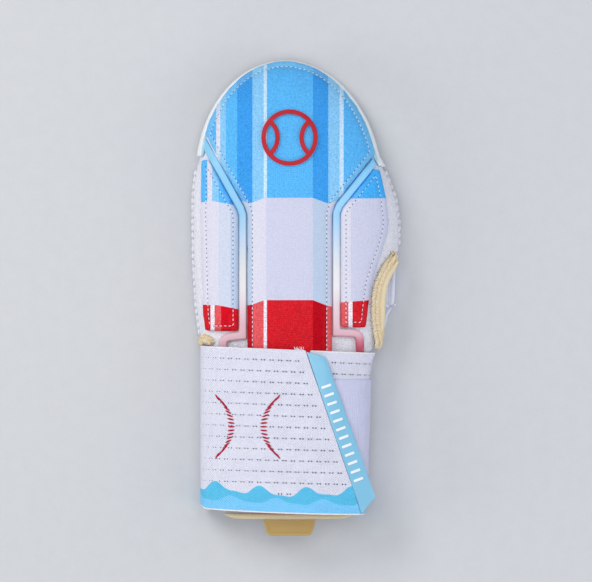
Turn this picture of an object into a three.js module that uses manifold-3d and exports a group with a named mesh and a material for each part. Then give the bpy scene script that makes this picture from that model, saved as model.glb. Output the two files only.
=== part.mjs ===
// Sliding mitt for base running: a padded hand pocket with a thumb opening, closed by a wrap-around wrist strap.
// Millimetres, +Z up. It lies on its palm with the fingertips towards +Y and the thumb opening towards +X.
import * as THREE from "three";
import { mergeVertices } from "three/addons/utils/BufferGeometryUtils.js";
import Module from "manifold-3d";

const wasm = await Module();
wasm.setup();

// Driving dimensions
const HALF_LENGTH = 147.5; // fingertip guard to origin, and origin to the end of the pull tab
const FIT_GAP = 0.35; // between pieces that lie on each other
const DOME_GAP = 0.6; // between the dome and the pieces sewn on it
const SHELL_WALL = 2.5; // padded knit of the back shell
const PALM_THICK = 5;
const SEAM_Z = PALM_THICK + FIT_GAP; // where the back shell is sewn to the palm
const CENTRE_PAD_THICK = 6;
const SIDE_PAD_THICK = 5;
const PIPING_WIDTH = 5;
const PIPING_THICK = 2.4;
const PIPING_CLEAR = 0.5; // from the piping's edge to the pad beside it
const GUARD_THICK = 2;
const STRAP_THICK = 2.2;
const PATCH_THICK = 1;

// The back shell's dome, a row for each section from the knuckles to the wrist: seam to seam, and its rise
const DOME = [
  { y: 88, left: -59.5, right: 49.5, rise: 30 },
  { y: 76, left: -62.6, right: 56.5, rise: 30 },
  { y: 62, left: -64, right: 61.8, rise: 30 },
  { y: 46, left: -64, right: 64, rise: 30 },
  { y: 22, left: -63.6, right: 63.4, rise: 30 },
  { y: -6, left: -62, right: 61.4, rise: 29.5 },
  { y: -30, left: -58.5, right: 54, rise: 27.6 },
  { y: -60, left: -55, right: 47.5, rise: 27 },
  { y: -145, left: -55, right: 47.5, rise: 27 },
];
const DOME_POWER = 2.6; // how square the dome's cross-section is
const NOSE = { tip: HALF_LENGTH - GUARD_THICK - FIT_GAP, centreY: 70.6, halfWidth: 56, tipX: -6.8, baseX: -5 };
const NOSE_RISE_Y = 88; // the rise starts to fall towards the fingertips here
const NOSE_POWER = 2.5;
const STEEPEST = 3; // most that a gap grows where the dome is steep

// A smooth value of one column of a table of rows ordered from high y to low y.
function smoothAt(rows, column, y) {
  const last = rows.length - 1;
  if (y >= rows[0].y) return rows[0][column];
  if (y <= rows[last].y) return rows[last][column];
  const i = rows.findIndex((row, k) => k < last && rows[k + 1].y <= y);
  const slope = (k) => {
    const before = rows[Math.max(0, k - 1)];
    const after = rows[Math.min(last, k + 1)];
    return (after[column] - before[column]) / (after.y - before.y);
  };
  const span = rows[i + 1].y - rows[i].y;
  const u = (y - rows[i].y) / span;
  const from = rows[i][column];
  const to = rows[i + 1][column];
  const bend = (1 - u) * (slope(i) * span - (to - from)) + u * (to - from - slope(i + 1) * span);
  return from + u * (to - from) + u * (1 - u) * bend;
}

// A straight-line value of one column of such a table.
function linearAt(rows, column, y) {
  const found = rows.findIndex((row) => row.y <= y);
  const i = found < 0 ? rows.length - 1 : Math.max(1, found);
  const u = THREE.MathUtils.clamp((rows[i - 1].y - y) / (rows[i - 1].y - rows[i].y), 0, 1);
  return THREE.MathUtils.lerp(rows[i - 1][column], rows[i][column], u);
}

const roundOff = (t, power) => Math.pow(Math.max(0, 1 - Math.pow(Math.min(1, Math.abs(t)), power)), 1 / power);

// The dome's seam line at y, drawn in by inset.
function domeEdges(y, inset = 0) {
  if (y <= DOME[0].y) {
    return { left: smoothAt(DOME, "left", y) + inset, right: smoothAt(DOME, "right", y) - inset };
  }
  const along = (y - NOSE.centreY) / (NOSE.tip - inset - NOSE.centreY);
  const middle = THREE.MathUtils.mapLinear(y, DOME[0].y, NOSE.tip, NOSE.baseX, NOSE.tipX);
  const half = (NOSE.halfWidth - inset) * roundOff(along, 2);
  return { left: middle - half, right: middle + half };
}

function domeRise(y, inset = 0) {
  const along = Math.max(0, (y - NOSE_RISE_Y) / (NOSE.tip - inset - NOSE_RISE_Y));
  return (smoothAt(DOME, "rise", y) - inset) * roundOff(along, NOSE_POWER);
}

// Height of the dome's outside.
function domeZ(x, y) {
  const { left, right } = domeEdges(y);
  const half = Math.max(0.01, (right - left) / 2);
  return SEAM_Z + domeRise(y) * roundOff((x - (left + right) / 2) / half, DOME_POWER);
}

// The dome's slope along x and along y.
function domeSlope(x, y) {
  const reach = 0.2;
  return new THREE.Vector2(
    (domeZ(x + reach, y) - domeZ(x - reach, y)) / (2 * reach),
    (domeZ(x, y + reach) - domeZ(x, y - reach)) / (2 * reach),
  );
}

// Height of a point a clear gap away from the dome, measured square to its surface.
function aboveDome(x, y, gap) {
  return domeZ(x, y) + gap * Math.min(STEEPEST, Math.hypot(1, domeSlope(x, y).length()));
}

// Geometry from vertices and triangles.
function geometryOf(points, triangles) {
  const geometry = new THREE.BufferGeometry();
  geometry.setAttribute("position", new THREE.Float32BufferAttribute(points.flat(), 3));
  geometry.setIndex(triangles);
  return geometry;
}

// A closed wall between two grids of points of the same size, low[row][column] and high[row][column].
function wallBetween(low, high) {
  const rows = low.length;
  const columns = low[0].length;
  const points = [...low.flat(), ...high.flat()];
  const lowAt = (j, i) => j * columns + i;
  const highAt = (j, i) => rows * columns + lowAt(j, i);
  const triangles = [];
  const quad = (a, b, c, d) => triangles.push(a, b, c, a, c, d);
  for (let j = 0; j + 1 < rows; j++) {
    for (let i = 0; i + 1 < columns; i++) {
      quad(highAt(j, i), highAt(j, i + 1), highAt(j + 1, i + 1), highAt(j + 1, i));
      quad(lowAt(j, i), lowAt(j + 1, i), lowAt(j + 1, i + 1), lowAt(j, i + 1));
    }
    const end = columns - 1;
    quad(lowAt(j, 0), highAt(j, 0), highAt(j + 1, 0), lowAt(j + 1, 0));
    quad(lowAt(j, end), lowAt(j + 1, end), highAt(j + 1, end), highAt(j, end));
  }
  for (let i = 0; i + 1 < columns; i++) {
    const end = rows - 1;
    quad(lowAt(0, i), lowAt(0, i + 1), highAt(0, i + 1), highAt(0, i));
    quad(lowAt(end, i), highAt(end, i), highAt(end, i + 1), lowAt(end, i + 1));
  }
  return geometryOf(points, triangles);
}

// A closed solid through rings of points that share one outline, with flat ends; outline gives the ends' triangles.
function loft(rings, outline) {
  const count = outline.length;
  const triangles = [];
  const lastRing = (rings.length - 1) * count;
  for (const [a, b, c] of THREE.ShapeUtils.triangulateShape(outline, [])) {
    triangles.push(a, c, b, lastRing + a, lastRing + b, lastRing + c);
  }
  for (let j = 0; j + 1 < rings.length; j++) {
    for (let i = 0; i < count; i++) {
      const next = (i + 1) % count;
      const [a, b, c, d] = [j * count + i, j * count + next, (j + 1) * count + next, (j + 1) * count + i];
      triangles.push(a, b, c, a, c, d);
    }
  }
  return geometryOf(rings.flat(), triangles);
}

// The geometry facing outwards, whichever way its faces were listed.
function facingOut(geometry) {
  const position = geometry.getAttribute("position");
  const [a, b, c] = [new THREE.Vector3(), new THREE.Vector3(), new THREE.Vector3()];
  const index = geometry.index.array;
  let volume = 0;
  for (let i = 0; i < index.length; i += 3) {
    a.fromBufferAttribute(position, index[i]);
    b.fromBufferAttribute(position, index[i + 1]);
    c.fromBufferAttribute(position, index[i + 2]);
    volume += a.dot(b.cross(c));
  }
  if (volume < 0) {
    for (let i = 0; i < index.length; i += 3) [index[i + 1], index[i + 2]] = [index[i + 2], index[i + 1]];
  }
  return geometry;
}

function solidOf(geometry) {
  const bare = geometry.clone();
  bare.deleteAttribute("normal");
  bare.deleteAttribute("uv");
  const merged = facingOut(mergeVertices(bare, 1e-3));
  return new wasm.Manifold(
    new wasm.Mesh({
      numProp: 3,
      vertProperties: merged.getAttribute("position").array,
      triVerts: new Uint32Array(merged.index.array),
    }),
  );
}

function geometryFrom(solid) {
  const mesh = solid.getMesh();
  const geometry = new THREE.BufferGeometry();
  geometry.setAttribute("position", new THREE.BufferAttribute(new Float32Array(mesh.vertProperties), 3));
  geometry.setIndex(new THREE.BufferAttribute(new Uint32Array(mesh.triVerts), 1));
  return geometry;
}

// Evenly spaced values from one to the other, ends included, with count spaces between them.
const spread = (from, to, count) =>
  Array.from({ length: count + 1 }, (unused, i) => THREE.MathUtils.lerp(from, to, i / count));

// Evenly spaced values no further apart than step.
const steps = (from, to, step) => spread(from, to, Math.max(1, Math.ceil(Math.abs(to - from) / step)));

// Values that crowd towards a rounded end at tip.
function crowdedSteps(from, tip, count) {
  return Array.from({ length: count + 1 }, (unused, i) => from + (tip - from) * Math.sin((i / count) * (Math.PI / 2)));
}

// Back shell
const DOME_COLUMNS = 22;
const WRIST_END_Y = -133;

// A solid dome from the wrist to the fingertips, drawn in by inset, down to floorZ.
function domeSolid(inset, wristY, floorZ) {
  const tip = NOSE.tip - inset - 0.05;
  const ys = [...steps(wristY, NOSE_RISE_Y, 16), ...crowdedSteps(NOSE_RISE_Y, tip, 12).slice(1)];
  const outline = [];
  const rings = ys.map((y) => {
    const { left, right } = domeEdges(y, inset);
    const half = (right - left) / 2;
    const ring = [];
    for (let i = 0; i <= DOME_COLUMNS; i++) {
      const angle = Math.PI * (i / DOME_COLUMNS);
      const across = Math.sign(Math.cos(angle)) * Math.pow(Math.abs(Math.cos(angle)), 2 / DOME_POWER);
      const up = Math.pow(Math.abs(Math.sin(angle)), 2 / DOME_POWER);
      ring.push([(left + right) / 2 + half * across, y, SEAM_Z + domeRise(y, inset) * up]);
    }
    ring.push([left, y, floorZ], [right, y, floorZ]);
    return ring;
  });
  for (const [x, , z] of rings[0]) outline.push(new THREE.Vector2(x, z));
  return solidOf(loft(rings, outline));
}

// The thumb opening's edge from the knuckles to the strap, and on under the strap to the rim
const THUMB_EDGE = [
  [72, 32],
  [63.5, 28.5],
  [59.3, 24.5],
  [56, 17],
  [52.4, 8],
  [50.7, -1.5],
  [50.5, -14],
  [50.2, -24],
  [47.5, -32.5],
  [41.5, -40],
  [40, -70],
  [35.5, WRIST_END_Y],
].map(([x, y]) => new THREE.Vector2(x, y));
// The little-finger side's edge from its seam to the rim
const OUTER_EDGE = [
  [-72, -20],
  [-61.5, -24],
  [-54.5, -31],
  [-51, -44],
  [-48, -70],
  [-44, WRIST_END_Y],
].map(([x, y]) => new THREE.Vector2(x, y));
const FAR = 200;

function backShell() {
  const plan = new THREE.Shape([
    new THREE.Vector2(-FAR, FAR),
    new THREE.Vector2(-FAR, OUTER_EDGE[0].y),
    ...new THREE.SplineCurve(OUTER_EDGE).getPoints(20),
    ...new THREE.SplineCurve(THUMB_EDGE).getPoints(36).reverse(),
    new THREE.Vector2(FAR, THUMB_EDGE[0].y),
    new THREE.Vector2(FAR, FAR),
  ]);
  const prism = solidOf(new THREE.ExtrudeGeometry(plan, { depth: FAR, bevelEnabled: false }));
  const outside = domeSolid(0, WRIST_END_Y, SEAM_Z);
  const hollow = domeSolid(SHELL_WALL, WRIST_END_Y - SHELL_WALL, SEAM_Z - SHELL_WALL);
  return geometryFrom(outside.subtract(hollow).intersect(prism));
}

// Palm panel: flat on the ground, with rolled edges and a heel that lies on the strap
const PALM = [
  { y: 20, left: -63, right: 62.4 },
  { y: -3, left: -61.8, right: 61.6 },
  { y: -7, left: -61.4, right: 60.2 },
  { y: -10, left: -61, right: 58 },
  { y: -20, left: -59, right: 55.4 },
  { y: -30, left: -55, right: 51 },
];
const HEEL = { left: -36, right: 22, startY: -31, endY: -46, z: STRAP_THICK + FIT_GAP };
const PALM_SECTION = [
  { inset: 6, z: 0 },
  { inset: 1.6, z: 1.2 },
  { inset: 0, z: 3 },
  { inset: 0.8, z: PALM_THICK },
];

function palmPanel() {
  const edges = (y) => {
    if (y > PALM[0].y) return domeEdges(y, 0.6);
    return { left: linearAt(PALM, "left", y), right: linearAt(PALM, "right", y) };
  };
  const ys = [
    ...crowdedSteps(60, NOSE.tip - 1.2, 12).reverse(),
    ...steps(60, 20, 12).slice(1),
    ...PALM.slice(1).map((row) => row.y),
  ];
  const section = (left, right, y, base) => {
    const room = Math.min(1, (right - left) / 20);
    const at = (side, { inset, z }) => [side < 0 ? left + inset * room : right - inset * room, y, Math.max(base, z)];
    return [
      ...PALM_SECTION.map((point) => at(1, point)),
      ...PALM_SECTION.map((point) => at(-1, point)).reverse(),
    ];
  };
  const rings = ys.map((y) => section(edges(y).left, edges(y).right, y, 0));
  const outline = rings[0].map(([x, , z]) => new THREE.Vector2(x, z));
  const heelLow = [];
  const heelHigh = [];
  for (const y of [HEEL.startY + 2, HEEL.endY]) {
    heelLow.push([[HEEL.left, y, HEEL.z], [HEEL.right, y, HEEL.z]]);
    heelHigh.push([[HEEL.left, y, PALM_THICK], [HEEL.right, y, PALM_THICK]]);
  }
  return geometryFrom(solidOf(loft(rings, outline)).add(solidOf(wallBetween(heelLow, heelHigh))));
}

// Piping strips in the grooves between the pads, from the fingertip guard to under the strap
const OUTER_PIPING = [
  [-54.4, 91.5],
  [-34.4, 55.4],
  [-33, 51],
  [-33, -23.6],
  [-41.6, -24.6],
  [-43.5, -25.3],
  [-44.9, -26.8],
  [-45.4, -28.8],
  [-45.4, -36],
].map(([x, y]) => new THREE.Vector2(x, y));
const THUMB_PIPING = [
  [47.6, 83],
  [26.8, 57],
  [25, 52.5],
  [25, -21.8],
  [35.8, -22.2],
  [37.7, -22.8],
  [39.1, -24.2],
  [39.6, -26.2],
  [39.8, -36],
].map(([x, y]) => new THREE.Vector2(x, y));
const PIPING_STEP = 7;
const PIPING_SECTION = [
  { across: -1, share: 0.6 },
  { across: -0.7, share: 1 },
  { across: 0.7, share: 1 },
  { across: 1, share: 0.6 },
];

// The mitre of a bent line at each of its points, to the left of its direction.
function mitres(path) {
  const normals = path.slice(1).map((point, i) => {
    const along = point.clone().sub(path[i]).normalize();
    return new THREE.Vector2(-along.y, along.x);
  });
  return path.map((point, i) => {
    const sum = normals[Math.max(0, i - 1)].clone().add(normals[Math.min(i, normals.length - 1)]);
    return sum.multiplyScalar(2 / sum.lengthSq());
  });
}

function piping(path) {
  const corners = mitres(path);
  const low = [];
  const high = [];
  const row = (at, side) => {
    const spots = PIPING_SECTION.map(({ across }) => at.clone().addScaledVector(side, (across * PIPING_WIDTH) / 2));
    low.push(spots.map((p) => [p.x, p.y, aboveDome(p.x, p.y, DOME_GAP)]));
    high.push(spots.map((p, i) => [p.x, p.y, aboveDome(p.x, p.y, DOME_GAP + PIPING_THICK * PIPING_SECTION[i].share)]));
  };
  row(path[0], corners[0]);
  for (let i = 0; i + 1 < path.length; i++) {
    for (const u of steps(0, 1, PIPING_STEP / path[i].distanceTo(path[i + 1])).slice(1)) {
      row(path[i].clone().lerp(path[i + 1], u), corners[i].clone().lerp(corners[i + 1], u));
    }
  }
  return wallBetween(low, high);
}

// The line that a pad keeps beside a strip, down to the strip's turn: hand is +1 to the left of the strip.
function besidePiping(path, hand) {
  const off = hand * (PIPING_WIDTH / 2 + PIPING_CLEAR);
  const corners = mitres(path);
  return path.slice(0, 3).map((point, i) => {
    const p = point.clone().addScaledVector(corners[i], off);
    return { y: p.y, x: p.x };
  });
}

// Padded panels on the dome
const PAD_EDGE = [
  { y: 6, share: 1 },
  { y: 2.4, share: 0.95 },
  { y: 0.8, share: 0.78 },
  { y: 0, share: 0.42 },
]; // y is the distance in from the pad's edge, share the part of the full thickness reached there
const PAD_COLUMN_STEP = 9.5;
const PAD_ROW_STEP = 12;
const PAD_CORNER_STEP = 3.4; // closer rows where the dome is steep beside the centre pad

// Height of a pad's underside: on the dome, or on the guard's rim past it.
const padLow = (x, y) => Math.max(aboveDome(x, y, DOME_GAP), y > GUARD.centreY ? guardHigh(y) + FIT_GAP : 0);

// A pad on the dome between edges(y).left and edges(y).right, at the given sections; the last one is its square end.
function pad(edges, ys, full) {
  const endY = ys[ys.length - 1];
  const widest = Math.max(...ys.map((y) => edges(y).right - edges(y).left));
  const middles = Math.max(2, Math.round(widest / PAD_COLUMN_STEP));
  const low = [];
  const high = [];
  for (const y of ys) {
    const { left, right } = edges(y);
    const room = Math.min(1, (right - left) / (3 * PAD_EDGE[0].y));
    const rim = PAD_EDGE.map((row) => row.y * room).reverse();
    const inner = rim[rim.length - 1];
    const between = spread(left + inner, right - inner, middles);
    const xs = [...rim.map((d) => left + d), ...between.slice(1, -1), ...rim.map((d) => right - d).reverse()];
    const endShare = linearAt(PAD_EDGE, "share", y - endY);
    const sideShare = (x) => linearAt(PAD_EDGE, "share", Math.min(x - left, right - x) / room);
    low.push(xs.map((x) => [x, y, padLow(x, y)]));
    high.push(xs.map((x) => [x, y, padLow(x, y) + full * endShare * sideShare(x)]));
  }
  return wallBetween(low, high);
}

// Sections of a pad from its top down to its square end, with the rolled end's rows.
function padRows(topY, breaks, endY) {
  const stops = [topY, ...breaks, endY + PAD_EDGE[0].y];
  const rows = [topY];
  for (let i = 0; i + 1 < stops.length; i++) rows.push(...steps(stops[i], stops[i + 1], PAD_ROW_STEP).slice(1));
  return [...rows, ...PAD_EDGE.slice(1).map((row) => endY + row.y)];
}

const CENTRE_PAD_END_Y = -131.5;
const CENTRE_PAD_TIP = HALF_LENGTH - 1.2; // leaves the guard's rim showing
const CENTRE_PAD_HALF = NOSE.halfWidth - 0.4;
const CENTRE_LEFT = besidePiping(OUTER_PIPING, 1);
const CENTRE_RIGHT = besidePiping(THUMB_PIPING, -1);

// The centre pad's edge round the fingertips.
function nosePadEdges(y) {
  const along = Math.max(0, (y - NOSE.centreY) / (CENTRE_PAD_TIP - NOSE.centreY));
  const middle = THREE.MathUtils.mapLinear(y, DOME[0].y, NOSE.tip, NOSE.baseX, NOSE.tipX);
  const half = CENTRE_PAD_HALF * roundOff(along, 2);
  return { left: middle - half, right: middle + half };
}

// The centre pad's edge beside a groove, which goes on straight past the groove's upper end.
function grooveEdge(rows, y) {
  if (y <= rows[0].y) return linearAt(rows, "x", y);
  return THREE.MathUtils.mapLinear(y, rows[1].y, rows[0].y, rows[1].x, rows[0].x);
}

function centrePadEdges(y) {
  const nose = nosePadEdges(y);
  return {
    left: Math.max(nose.left, grooveEdge(CENTRE_LEFT, y)),
    right: Math.min(nose.right, grooveEdge(CENTRE_RIGHT, y)),
  };
}

// Where the centre pad's edge turns from a groove to the fingertips.
function padCornerY(rows, side) {
  let below = rows[1].y;
  let above = CENTRE_PAD_TIP;
  for (let i = 0; i < 40; i++) {
    const middle = (below + above) / 2;
    if (Math.abs(grooveEdge(rows, middle)) < Math.abs(nosePadEdges(middle)[side])) below = middle;
    else above = middle;
  }
  return below;
}

function centrePad() {
  const corners = [padCornerY(CENTRE_LEFT, "left"), padCornerY(CENTRE_RIGHT, "right")];
  const [noseFoot, lowCorner, shoulder] = [Math.max(...corners), Math.min(...corners), CENTRE_RIGHT[1].y];
  const rows = [
    ...crowdedSteps(noseFoot, CENTRE_PAD_TIP - 0.1, 11).reverse(),
    ...steps(noseFoot, lowCorner, PAD_CORNER_STEP).slice(1),
    ...steps(lowCorner, shoulder, PAD_CORNER_STEP).slice(1),
    ...padRows(shoulder, [CENTRE_LEFT[1].y, CENTRE_LEFT[2].y], CENTRE_PAD_END_Y).slice(1),
  ];
  return pad(centrePadEdges, rows, CENTRE_PAD_THICK);
}

// The outer pad's outside edge, and the thumb pad's
const OUTER_PAD = [
  { y: 85, x: -58.4 },
  { y: 50, x: -59 },
  { y: 20, x: -58.3 },
  { y: -10, x: -57.4 },
  { y: -20.6, x: -56 },
];
const THUMB_PAD = [
  { y: 79, x: 51.7 },
  { y: 62, x: 55.6 },
  { y: 46, x: 57.3 },
  { y: 39, x: 56.2 },
  { y: 28, x: 52.8 },
  { y: 18, x: 49.2 },
  { y: 8, x: 46.2 },
  { y: -4, x: 44.6 },
  { y: -18.3, x: 43 },
];

// A side pad between its outside edge and its groove; hand is +1 where the groove lies at higher x.
function sidePad(outside, groove, hand) {
  const edges = (y) => {
    const pair = [linearAt(outside, "x", y), linearAt(groove, "x", y)];
    return hand > 0 ? { left: pair[0], right: pair[1] } : { left: pair[1], right: pair[0] };
  };
  const endY = outside[outside.length - 1].y;
  const breaks = [...outside.slice(1, -1), ...groove.slice(1)]
    .map((row) => row.y)
    .filter((y) => y > endY + PAD_EDGE[0].y)
    .sort((a, b) => b - a);
  return pad(edges, padRows(outside[0].y, breaks, endY), SIDE_PAD_THICK);
}

// Fingertip guard: a moulded band round the nose, below the centre pad's edge
const GUARD = { centreX: -5.5, centreY: 84, low: SEAM_Z + 0.3, high: 15.5, leftAngle: 176, rightAngle: -2.6, step: 6 };
const GUARD_RISE = { endHigh: 18.5, fromY: 112, toY: 92 };
const GUARD_HEIGHTS = 3;

// The guard's upper edge, which rises towards its two ends.
function guardHigh(y) {
  const u = THREE.MathUtils.smoothstep(y, GUARD_RISE.toY, GUARD_RISE.fromY);
  return THREE.MathUtils.lerp(GUARD_RISE.endHigh, GUARD.high, u);
}

// The point of the dome's outside at height z, seen from the guard's centre at an angle.
function nosePoint(angle, z) {
  const ray = new THREE.Vector2(Math.cos(angle), Math.sin(angle));
  const centre = new THREE.Vector2(GUARD.centreX, GUARD.centreY);
  let inside = 0;
  let outside = HALF_LENGTH;
  for (let i = 0; i < 40; i++) {
    const middle = (inside + outside) / 2;
    const p = centre.clone().addScaledVector(ray, middle);
    if (p.y < NOSE.tip && domeZ(p.x, p.y) > z) inside = middle;
    else outside = middle;
  }
  return { at: centre.addScaledVector(ray, inside), ray };
}

function fingertipGuard() {
  const low = [];
  const high = [];
  for (const degrees of steps(GUARD.rightAngle, GUARD.leftAngle, GUARD.step)) {
    const upper = guardHigh(nosePoint(THREE.MathUtils.degToRad(degrees), GUARD.high).at.y);
    const heights = spread(GUARD.low, upper, GUARD_HEIGHTS);
    const place = (z, out) => {
      const { at, ray } = nosePoint(THREE.MathUtils.degToRad(degrees), z);
      at.addScaledVector(ray, out);
      return [at.x, at.y, z];
    };
    low.push(heights.map((z) => place(z, FIT_GAP)));
    high.push(heights.map((z) => place(z, FIT_GAP + GUARD_THICK)));
  }
  return wallBetween(low, high);
}

// Rolled binding on the shell's cut edges: out is measured from the edge, up from the dome
const BINDING_SECTION = [
  { out: -3.6, up: DOME_GAP },
  { out: -0.6, up: DOME_GAP },
  { out: 0.8, up: -1.2 },
  { out: 0.9, up: -3.6 },
  { out: 2.2, up: -4.6 },
  { out: 4, up: -3.6 },
  { out: 4.7, up: -1.4 },
  { out: 3.8, up: 0.8 },
  { out: 1.8, up: 1.9 },
  { out: -0.6, up: 2 },
  { out: -3.6, up: 1.5 },
];
const BINDING_STEP = 0.03; // of the edge's whole run

// The binding along part of an edge; hand is +1 where the open side lies to the right of the edge's direction,
// and flange is the share of the section's reach on the shell.
function binding(edge, from, to, hand, flange) {
  const curve = new THREE.SplineCurve(edge);
  const outline = BINDING_SECTION.map(({ out, up }) => new THREE.Vector2(out, up));
  const rings = steps(from, to, BINDING_STEP).map((u) => {
    const at = curve.getPoint(u);
    const along = curve.getTangent(u);
    const outward = new THREE.Vector2(along.y, -along.x).multiplyScalar(hand);
    return BINDING_SECTION.map(({ out, up }) => {
      const p = at.clone().addScaledVector(outward, out < 0 ? out * flange : out);
      const z = out < 0 ? aboveDome(p.x, p.y, up) : domeZ(at.x, at.y) + up;
      return [p.x, p.y, z];
    });
  });
  return loft(rings, outline);
}

// Rim binding across the end of the wrist tongue, and the pull tab that it holds
const RIM = { left: -44.5, right: 36, out: 4.2, below: 3.4, above: 2.4, roundness: 7, step: 6 };
const RIM_SECTION = [
  { out: 0, up: -0.7 },
  { out: 0.65, up: -1 },
  { out: 1, up: -0.55 },
  { out: 1, up: 0.5 },
  { out: 0.6, up: 1 },
  { out: 0, up: 0.75 },
]; // shares of the rim's depth out and of its height below or above the dome
const PULL_TAB = { left: -20.5, right: 12.4, taper: 2.4, corner: 3, thick: 2.4 };

function rimBinding() {
  const outline = RIM_SECTION.map(({ out, up }) => new THREE.Vector2(out, up));
  const middle = (RIM.left + RIM.right) / 2;
  const rings = steps(RIM.left, RIM.right, RIM.step).map((x) => {
    const depth = 0.35 + 0.65 * roundOff((x - middle) / (RIM.right - middle), RIM.roundness);
    return RIM_SECTION.map(({ out, up }) => {
      const lift = up * (up < 0 ? RIM.below : RIM.above);
      return [x, WRIST_END_Y - FIT_GAP - out * RIM.out * depth, domeZ(x, WRIST_END_Y) + lift];
    });
  });
  return loft(rings, outline);
}

function pullTab() {
  const { left, right, taper, corner, thick } = PULL_TAB;
  const top = WRIST_END_Y - RIM.out - 2 * FIT_GAP;
  const low = -HALF_LENGTH;
  const shape = new THREE.Shape();
  shape.moveTo(left, top);
  shape.lineTo(left + taper * 0.8, low + corner);
  shape.quadraticCurveTo(left + taper, low, left + taper + corner, low);
  shape.lineTo(right - taper - corner, low);
  shape.quadraticCurveTo(right - taper, low, right - taper * 0.8, low + corner);
  shape.lineTo(right, top);
  const geometry = new THREE.ExtrudeGeometry(shape, { depth: thick, bevelEnabled: false, curveSegments: 5 });
  return geometryFrom(solidOf(geometry.translate(0, 0, domeZ((left + right) / 2, WRIST_END_Y) - thick)));
}

// Wrist strap: one band that starts on the back, goes round under the palm and closes over its own start
const STRAP = { left: -59.5, right: 45.9, power: 2.6, palmPower: 7, underStartX: 8, shoulder: 230, stiffFromX: 30 };
const STRAP_TOP_Y = { atLeft: -30, atRight: -34.2 };
const STRAP_LOW_Y = { atLeft: -129.6, atMiddle: -132.4, atRight: -133.4 };
const STRAP_END = { topX: 5.8, lowX: 40.2 };
const STRAP_FLARE = 3.6; // the right side stands out at its upper edge
const STRAP_ROWS = [0, 0.08, 0.18, 0.5, 1];
const STRAP_ANGLE_STEP = 9;
const STRAP_RUN_STEP = 7;
const strapMiddleX = (STRAP.left + STRAP.right) / 2;
const strapHalf = (STRAP.right - STRAP.left - STRAP_THICK) / 2;
const strapTopZ = domeZ(strapMiddleX, STRAP_TOP_Y.atLeft) + DOME_GAP + CENTRE_PAD_THICK + FIT_GAP + STRAP_THICK / 2;
const strapMiddleZ = (strapTopZ + STRAP_THICK / 2) / 2;
const strapRise = strapTopZ - strapMiddleZ;
const OVERLAP_LIFT = 1.15 * (STRAP_THICK + PATCH_THICK + 2 * FIT_GAP); // the closing layer rides over start and patch

// A point of the strap's loop, halfway through its wall, at an angle in degrees from the thumb side.
function loopPoint(degrees, flare) {
  const angle = THREE.MathUtils.degToRad(degrees);
  const power = Math.sin(angle) < 0 ? STRAP.palmPower : STRAP.power;
  const round = (v) => Math.sign(v) * Math.pow(Math.abs(v), 2 / power);
  const x = strapMiddleX + strapHalf * round(Math.cos(angle)) + flare * Math.max(0, Math.cos(angle));
  return new THREE.Vector2(x, Math.max(STRAP_THICK / 2, strapMiddleZ + strapRise * round(Math.sin(angle))));
}

// Height of the strap's loop over the back at x; past stiffFromX the closing layer goes on straight.
function loopTopZ(x) {
  const at = (v) => strapMiddleZ + strapRise * roundOff((v - strapMiddleX) / strapHalf, STRAP.power);
  if (x <= STRAP.stiffFromX) return at(x);
  return at(STRAP.stiffFromX) + (x - STRAP.stiffFromX) * (at(STRAP.stiffFromX) - at(STRAP.stiffFromX - 1));
}

function closingZ(x) {
  const from = loopPoint(STRAP.shoulder, 0).x;
  const u = THREE.MathUtils.smoothstep(x, from, 0);
  return loopTopZ(x) + OVERLAP_LIFT * u;
}

const angleAtX = (x) => {
  const share = Math.pow((x - strapMiddleX) / strapHalf, STRAP.power / 2);
  return THREE.MathUtils.radToDeg(Math.acos(share));
};

// Both faces of a band, offset either side of the line through its points.
function bandFaces(line, inward, outward) {
  const faces = { inner: [], outer: [] };
  line.forEach((point, i) => {
    const along = line[Math.min(i + 1, line.length - 1)].clone().sub(line[Math.max(0, i - 1)]).normalize();
    const normal = new THREE.Vector2(-along.y, along.x);
    faces.inner.push(point.clone().addScaledVector(normal, inward));
    faces.outer.push(point.clone().addScaledVector(normal, outward));
  });
  return faces;
}

function strapY(x, v) {
  const u = THREE.MathUtils.clamp((x - STRAP.left) / (STRAP.right - STRAP.left), 0, 1);
  const top = THREE.MathUtils.lerp(STRAP_TOP_Y.atLeft, STRAP_TOP_Y.atRight, u);
  const bow = STRAP_LOW_Y.atMiddle - (STRAP_LOW_Y.atLeft + STRAP_LOW_Y.atRight) / 2;
  const low = THREE.MathUtils.lerp(STRAP_LOW_Y.atLeft, STRAP_LOW_Y.atRight, u) + 4 * bow * u * (1 - u);
  return THREE.MathUtils.lerp(top, low, v);
}

const flareAt = (v) => STRAP_FLARE * Math.pow(Math.max(0, 1 - v / 0.2), 2);

// Where the closing layer ends, and the tab begins, at share v of the strap's width.
const strapEndX = (v) => THREE.MathUtils.lerp(STRAP_END.topX, STRAP_END.lowX, v);

function wristStrap() {
  const loop = steps(angleAtX(STRAP.underStartX), -STRAP.shoulder, STRAP_ANGLE_STEP);
  const shoulderX = loopPoint(-STRAP.shoulder, 0).x;
  const runCount = Math.ceil((STRAP_END.lowX - shoulderX) / STRAP_RUN_STEP);
  const inner = [];
  const outer = [];
  for (const v of STRAP_ROWS) {
    const run = spread(shoulderX, strapEndX(v), runCount).slice(1);
    const line = [
      ...loop.map((degrees) => loopPoint(degrees, flareAt(v))),
      ...run.map((x) => new THREE.Vector2(x, closingZ(x))),
    ];
    const faces = bandFaces(line, -STRAP_THICK / 2, STRAP_THICK / 2);
    inner.push(faces.inner.map((p) => [p.x, strapY(p.x, v), p.y]));
    outer.push(faces.outer.map((p) => [p.x, strapY(p.x, v), p.y]));
  }
  return wallBetween(inner, outer);
}

// Loop-pile patch on the strap's start, for the tab's hooks
const PATCH = { topY: -51, lowY: -127, startAngle: 72, endAngle: -28 };

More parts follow.
